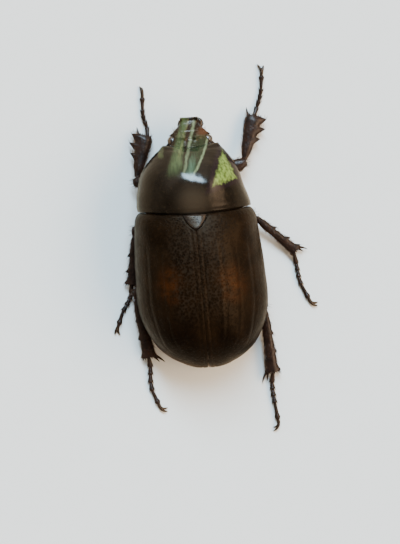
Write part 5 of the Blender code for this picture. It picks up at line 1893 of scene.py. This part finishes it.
@dataclass
class Leg:
    """One leg from coxa to claws, with its spines and bristles."""

    form: LegForm
    sizes: LegSizes

    def build(self, shop: Workshop) -> None:
        """All the pieces of this leg.

        Args:
            shop: makes the pieces.
        """
        name = self.sizes.name
        centre, radii = self.form.coxa(self.sizes)
        thigh, shin = self.thigh(), self.shin()
        parts = (
            ("hip_", [loft(globe(tuple(centre), radii, 26))], "coxa_"),
            ("thigh_", [loft(thigh)], "femur_"),
            ("shin_", [loft(shin)] + self.spines(), "tibia_"),
            ("foot_", self.foot(), "tarsus_"),
        )
        for piece, shells, node in parts:
            shop.add(piece + name, shells, Finish.LEG, (node + name,), "legs")
        shop.add("claw_pair_" + name, self.claws(), Finish.CLAW, ("claws_" + name,), "claws")
        self.bristles(shop, thigh, shin)

    def frame(self) -> tuple[Array, Array, Array, Array]:
        """Where the shin lies.

        Returns:
            Its start, end, heading and outward direction.
        """
        knee, ankle = np.array(self.sizes.knee), np.array(self.sizes.ankle)
        heading = unit(ankle - knee)
        outward = unit(np.array([heading[1], -heading[0], 0.0]))
        if outward[0] * self.sizes.side < 0:
            outward = -outward
        return knee + heading * self.sizes.shin_start, ankle, heading, outward

    def thigh(self) -> Array:
        """A stout flattened tube with a narrow root inside the coxa.

        Returns:
            A grid of rings for loft.
        """
        start, end = self.form.femur_line(self.sizes)
        heading = unit(end - start)
        share = np.linspace(-0.08, 1.0, 90)
        path = start + (end - start) * share[:, None]
        radius = through(self.form.femur, np.clip(share, 0, 1)) * (1 - 0.15 * (share < 0))
        path += 0.08 * np.sin(math.pi * np.clip(share, 0, 1))[:, None] * np.cross(heading, (0, 0, 1))
        grid = sweep(path, radius, radius * self.form.femur_flatness, 44, 0.16)
        return self.off_floor(grid + 0.015 * unevenness(grid, 1.3, 61)[..., None])

    def shin(self) -> Array:
        """A flattened blade whose outer edge swells into teeth.

        A ring is an oval; its outer half reaches further out by each tooth's height, a power
        of the distance from the tooth's place, moves towards the foot by the lean, and thins.

        Returns:
            A grid of rings for loft.
        """
        start, end, heading, outward = self.frame()
        root = self.form.shin_root
        start = start - heading * root
        stations = self.form.shins[self.sizes.kind]
        length = np.linalg.norm(end - start)
        share = np.linspace(0.0, 1.0, 170)
        place = np.clip((share * length - root) / (length - root), 0, 1)
        width = through(stations, place) * (0.8 + 0.2 * ramp_up(share * length, 0.0, 0.6))
        reach = np.zeros_like(share)
        lean = np.zeros_like(share)
        for at, tall, radius in self.form.teeth[self.sizes.kind]:
            spread = radius * self.form.tooth_spread / length
            form = np.clip(1.0 - np.abs(place - at) / spread, 0.0, 1.0) ** 0.9
            reach += (self.form.tooth_share * tall - self.form.tooth_sunk) * form
            lean += self.form.tooth_lean * tall * form
        angle = np.arange(44) / 44 * 2 * math.pi
        out = np.cos(angle)[None]
        outer = np.maximum(out, 0.0)
        side = out * width[:, None] + outer**1.5 * reach[:, None]
        thin = 1 - 0.5 * outer**2 * np.clip(reach, 0, 0.6)[:, None]
        high = np.sin(angle)[None] * (width * self.form.shin_flatness)[:, None] * thin
        ahead = outer**2 * lean[:, None]
        middle = start + (end - start) * share[:, None]
        up = np.cross(heading, outward)
        up = up if up[2] > 0 else -up
        grid = (
            middle[:, None] + side[..., None] * outward + high[..., None] * up + ahead[..., None] * heading
        )
        return self.off_floor(grid + 0.01 * unevenness(grid, 1.0, 62)[..., None])

    def spines(self) -> list[Shell]:
        """The teeth of the shin's end and its curved spurs.

        Returns:
            Their surfaces.
        """
        _, ankle, heading, outward = self.frame()
        width = self.form.shins[self.sizes.kind][-1][1]
        shells = []
        for share in np.linspace(-0.92, 0.92, 7):
            root = ankle + outward * width * share + np.array([0, 0, 0.3 - 0.25 * abs(share)])
            tip = root + heading * self.form.end_spine + outward * 0.1 * share
            shells.append(spike(root - heading * 0.35, tip, 0.17))
        for i, length in enumerate(self.form.spurs[self.sizes.kind]):
            away = -outward if self.sizes.shift > self.form.spur_swap else outward
            root = ankle + away * width * (0.82 - 0.3 * i) - np.array([0, 0, 0.25])
            aim = unit(heading + away * (self.sizes.spread - 0.3 * i))
            tip = root + aim * length
            tip[2] = max(tip[2], 0.12)
            shells.append(spike(root - aim * 0.45, tip, 0.24, away * 0.07 * length))
        return shells

    def joints(self) -> Array:
        """The points where the foot's segments meet, from the ankle to the claws."""
        _, ankle, heading, outward = self.frame()
        level = self.form.foot_radii[self.sizes.kind][1] * 0.9
        points = [ankle - heading * 0.1 + outward * self.sizes.shift]
        points += [np.array([x, y, level]) for x, y in self.sizes.foot]
        return np.array(points)

    def foot(self) -> list[Shell]:
        """Four beads that widen forwards, each with two end spines, and a longer claw segment.

        Returns:
            Their surfaces.
        """
        neck, swell = self.form.foot_radii[self.sizes.kind]
        joints = self.joints()
        shells = []
        for i in range(5):
            start, end = joints[i], joints[i + 1]
            widest = self.form.claw_segment if i == 4 else swell
            share = np.linspace(0.0, 1.0, 26)
            stations = (
                (0.0, neck * 0.75), (0.2, neck), (0.6, widest * 0.86), (0.86, widest), (1.0, widest * 0.62),
            )
            if i == 4:
                stations = (
                    (0.0, neck * 0.8), (0.3, neck), (0.65, widest * 0.72), (0.88, widest), (1.0, neck),
                )
            path = start + (end - start) * (share * 1.05 - 0.02)[:, None]
            path[:, 2] += 0.05 * np.sin(math.pi * share)
            thick = through(stations, share)
            shells.append(loft(self.off_floor(sweep(path, thick, thick * 0.92, 22, 0.06))))
            heading = unit(end - start)
            across = np.cross(heading, (0, 0, 1))
            for way in (-1, 1) if i < 4 else ():
                root = start + (end - start) * 0.86 + across * widest * 0.7 * way - np.array([0, 0, 0.12])
                tip = root + heading * 0.32 + across * 0.16 * way
                shells.append(spike(root, tip, 0.05))
        return shells

    def claws(self) -> list[Shell]:
        """A small root and two claws, each the curve that leaves it towards a bend.

        Returns:
            Their surfaces.
        """
        joints = self.joints()
        heading = unit(joints[5] - joints[4])
        across = unit(np.cross((0.0, 0.0, 1.0), heading))
        across = -across if across[0] < 0 else across
        hook = self.sizes.hook
        even = 1.0 - abs(hook)
        reach = self.form.claw_reach
        root = self.form.claw_root
        base = joints[5] + heading * root
        neck = joints[5] + np.linspace(-0.15, root, 8)[:, None] * heading
        thick = np.linspace(0.24, 0.29, 8)
        shells = [loft(self.off_floor(sweep(neck, thick, thick, 16, 0.12)))]
        for pair in (-1, 1):
            bend = base + heading * reach * (0.62 + 0.12 * pair * abs(hook))
            splay = pair * even * self.sizes.splay
            bend = bend + across * (0.34 * splay + 0.1 * hook) + np.array([0, 0, 0.12 + 0.1 * pair])
            tip = base + heading * reach * (0.72 + 0.24 * even + 0.26 * pair * abs(hook))
            tip = tip + across * (0.62 * splay + 1.15 * hook)
            tip[2] = 0.15
            t = np.linspace(0.0, 1.0, 28)[:, None]
            path = base * (1 - t) ** 2 + bend * 2 * t * (1 - t) + tip * t**2
            thick = self.form.claw_radius * (1 - t[:, 0]) ** 0.6 + 0.035
            shells.append(loft(self.off_floor(sweep(path, thick, thick, 16, 0.04))))
        return shells

    def bristles(self, shop: Workshop, thigh: Array, shin: Array) -> None:
        """Red-brown bristles along the thigh and the shin, leaning towards the foot.

        Args:
            shop: makes the pieces.
            thigh: its rings.
            shin: its rings.
        """
        tufts = []
        parts = ((thigh, 110, 0.65, 0.02, self.sizes.knee), (shin, 150, 0.6, 0.52, self.sizes.ankle))
        for grid, count, length, cell, end in parts:
            skin = Skin(grid, (0.02, cell, 0.96, 0.44))
            edge = np.clip(np.abs(skin.normals[..., 2]) < 0.75, 0, 1) * (grid[..., 2] > 0.3)
            lie = unit(np.array(end) - grid.reshape(-1, 3).mean(axis=0))
            lie = np.array([lie[0], lie[1], 0.0])
            seed = 70 + int(100 * cell) + hash_of(self.sizes.name)
            tufts.append(skin.tuft(edge.astype(float), count, length, tuple(lie), 0.55, 0.03, seed))
        shop.add_coat("bristles_" + self.sizes.name, tufts, Finish.DARK_HAIR)

    def off_floor(self, grid: Array) -> Array:
        """Lifts what would dip below the floor onto it."""
        grid[..., 2] = np.maximum(grid[..., 2], 0.01)
        return grid


def hash_of(text: str) -> int:
    """A small number that is the same for the same text on every run."""
    return sum((i + 1) * ord(letter) for i, letter in enumerate(text)) % 997


# The studio


@dataclass(frozen=True)
class Window:
    """A bright oval of the sky with soft edges."""

    azimuth: float
    elevation: float
    half_width: float
    half_height: float
    turn: float
    colour: Colour

    def mask(self, nodes: Nodes, way: Socket) -> Socket:
        """1 in its middle, falling to 0 at its edge by the sum of the squares of the two shares.

        Args:
            nodes: of the sky.
            way: the direction looked in.

        Returns:
            The window's share, from 0 to 1.
        """
        turn, lift, tip = (math.radians(a) for a in (self.azimuth, self.elevation, self.turn))
        level = math.cos(lift)
        ahead = np.array([-math.sin(turn) * level, -math.cos(turn) * level, math.sin(lift)])
        side = unit(np.cross(ahead, (0.0, 0.0, 1.0)))
        up = np.cross(side, ahead)
        axes = (
            (side * math.cos(tip) + up * math.sin(tip)) / self.half_width,
            (up * math.cos(tip) - side * math.sin(tip)) / self.half_height,
        )
        first, second = (nodes.math("POWER", nodes.along(way, axis), 2.0) for axis in axes)
        inside = nodes.span(nodes.math("ADD", first, second), 1.0, 0.1)
        return nodes.math("MULTIPLY", inside, nodes.span(nodes.along(way, ahead), 0.0, 0.2))


@dataclass
class Studio:
    """Floor, sky and camera."""

    aim: Triple = (-0.254, 9.436, 4.0)  # millimetres from the waist
    distance: float = 0.3
    tilt: float = -2.0  # degrees from straight above, towards the tail
    roll: float = 3.652
    focal: float = 124.18
    floor_half: float = 1.5
    floor_colour: Colour = (0.81, 0.788, 0.738)
    floor_mirrored: Colour = (0.53, 0.4, 0.265)
    tail_sky: Colour = (0.62, 0.53, 0.41)
    head_sky: Colour = (0.95, 0.84, 0.7)
    zenith: Colour = (0.24, 0.21, 0.17)
    windows: tuple[Window, ...] = (
        Window(4.0, 50.0, 0.52, 0.17, 50.0, (24.0, 36.0, 47.0)),
        Window(98.0, 42.0, 0.8, 0.36, 0.0, (8.6, 6.8, 5.0)),
    )

    def build(self, origin: Array) -> None:
        """Everything that isn't the beetle."""
        aim = Vector(origin) + Vector(self.aim) * MM
        self.sky()
        self.floor(origin)
        self.camera(aim)

    def sky(self) -> None:
        """A surround that is palest towards the head and dark overhead, with soft windows."""
        world = bpy.data.worlds.new("surround")
        world.use_nodes = True
        nodes = Nodes(world.node_tree)
        way = nodes.node("ShaderNodeTexCoord", {}).outputs["Generated"]
        ahead = nodes.along(way, np.array([0.0, -1.0, 0.0]))
        height = nodes.along(way, np.array([0.0, 0.0, 1.0]))
        low = nodes.blend(nodes.span(ahead, -0.6, 0.7), self.tail_sky, self.head_sky)
        colour = nodes.blend(nodes.span(height, 0.6, 0.93), low, self.zenith)
        for window in self.windows:
            colour = nodes.blend(window.mask(nodes, way), colour, window.colour)
        light = world.node_tree.nodes["Background"]
        nodes.feed(light.inputs["Color"], colour)
        light.inputs["Strength"].default_value = 1.0
        bpy.context.scene.world = world

    def floor(self, origin: Array) -> None:
        """A plain pale floor with the faintest grain, which the beetle mirrors darker and warmer.

        Args:
            origin: where the waist is in the frame, in metres.
        """
        half = self.floor_half
        mesh = bpy.data.meshes.new("floor")
        corners = [(-half, -half, 0), (half, -half, 0), (half, half, 0), (-half, half, 0)]
        mesh.from_pydata(corners, [], [(0, 1, 2, 3)])
        nodes = Shading("floor_finish", origin)
        share = nodes.noise(0.15, 3.0)
        pale = tuple(c * 1.04 for c in self.floor_colour)
        seen = nodes.blend(share, self.floor_colour, pale)
        mirrored = nodes.node("ShaderNodeLightPath", {}).outputs["Is Glossy Ray"]
        nodes.feed(nodes.surface.inputs["Base Color"], nodes.blend(mirrored, seen, self.floor_mirrored))
        mesh.materials.append(nodes.settle(Roughness=0.8, Specular_IOR_Level=0.2))
        floor = bpy.data.objects.new("floor", mesh)
        bpy.context.scene.collection.objects.link(floor)

    def camera(self, aim: Vector) -> None:
        """Looks down at the beetle with its head at the top of the picture.

        Args:
            aim: what stands in the middle of the picture.
        """
        tilt = math.radians(self.tilt)
        lens = bpy.data.cameras.new("camera")
        lens.lens = self.focal
        lens.clip_start = 0.01
        lens.clip_end = 10.0
        camera = bpy.data.objects.new("camera", lens)
        away = Vector((0.0, math.sin(tilt), math.cos(tilt)))
        ahead = -away
        head_up = Vector((0.0, -1.0, 0.0))
        head_up = (head_up - ahead * head_up.dot(ahead)).normalized()
        sideways = ahead.cross(head_up)
        roll = math.radians(self.roll)
        up = head_up * math.cos(roll) + sideways * math.sin(roll)
        right = ahead.cross(up)
        camera.matrix_world = Matrix.Translation(aim + away * self.distance) @ Matrix(
            (right, up, away)
        ).transposed().to_4x4()
        bpy.context.scene.collection.objects.link(camera)
        bpy.context.scene.camera = camera


def main() -> None:
    """Builds and dresses the beetle and sets it in the studio."""
    logging.basicConfig(level=logging.INFO, format="%(message)s")
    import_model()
    eyes = [sum(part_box("eye_" + name), Vector()) / 2 for name in SIDES]
    middle = (eyes[0] + eyes[1]) / 2 - Vector((0.0, Head.eye[1], Head.eye[2])) * MM
    shop = Workshop(np.array([middle.x, middle.y, 0.0]))
    back = BackForm()
    scutellum = Scutellum(back)
    shield = FrontShield(back)
    form = LegForm(back)
    shield.build(shop)
    WingCases(back, scutellum).build(shop)
    scutellum.build(shop)
    Trunk(back, shield, form).build(shop)
    TailPlate(back).build(shop)
    Head(shield).build(shop)
    for sizes in LEGS:
        Leg(form, sizes).build(shop)
    Studio().build(shop.origin)
    LOG.info("beetle: %d triangles", shop.triangles)


if __name__ == "__main__":
    main()
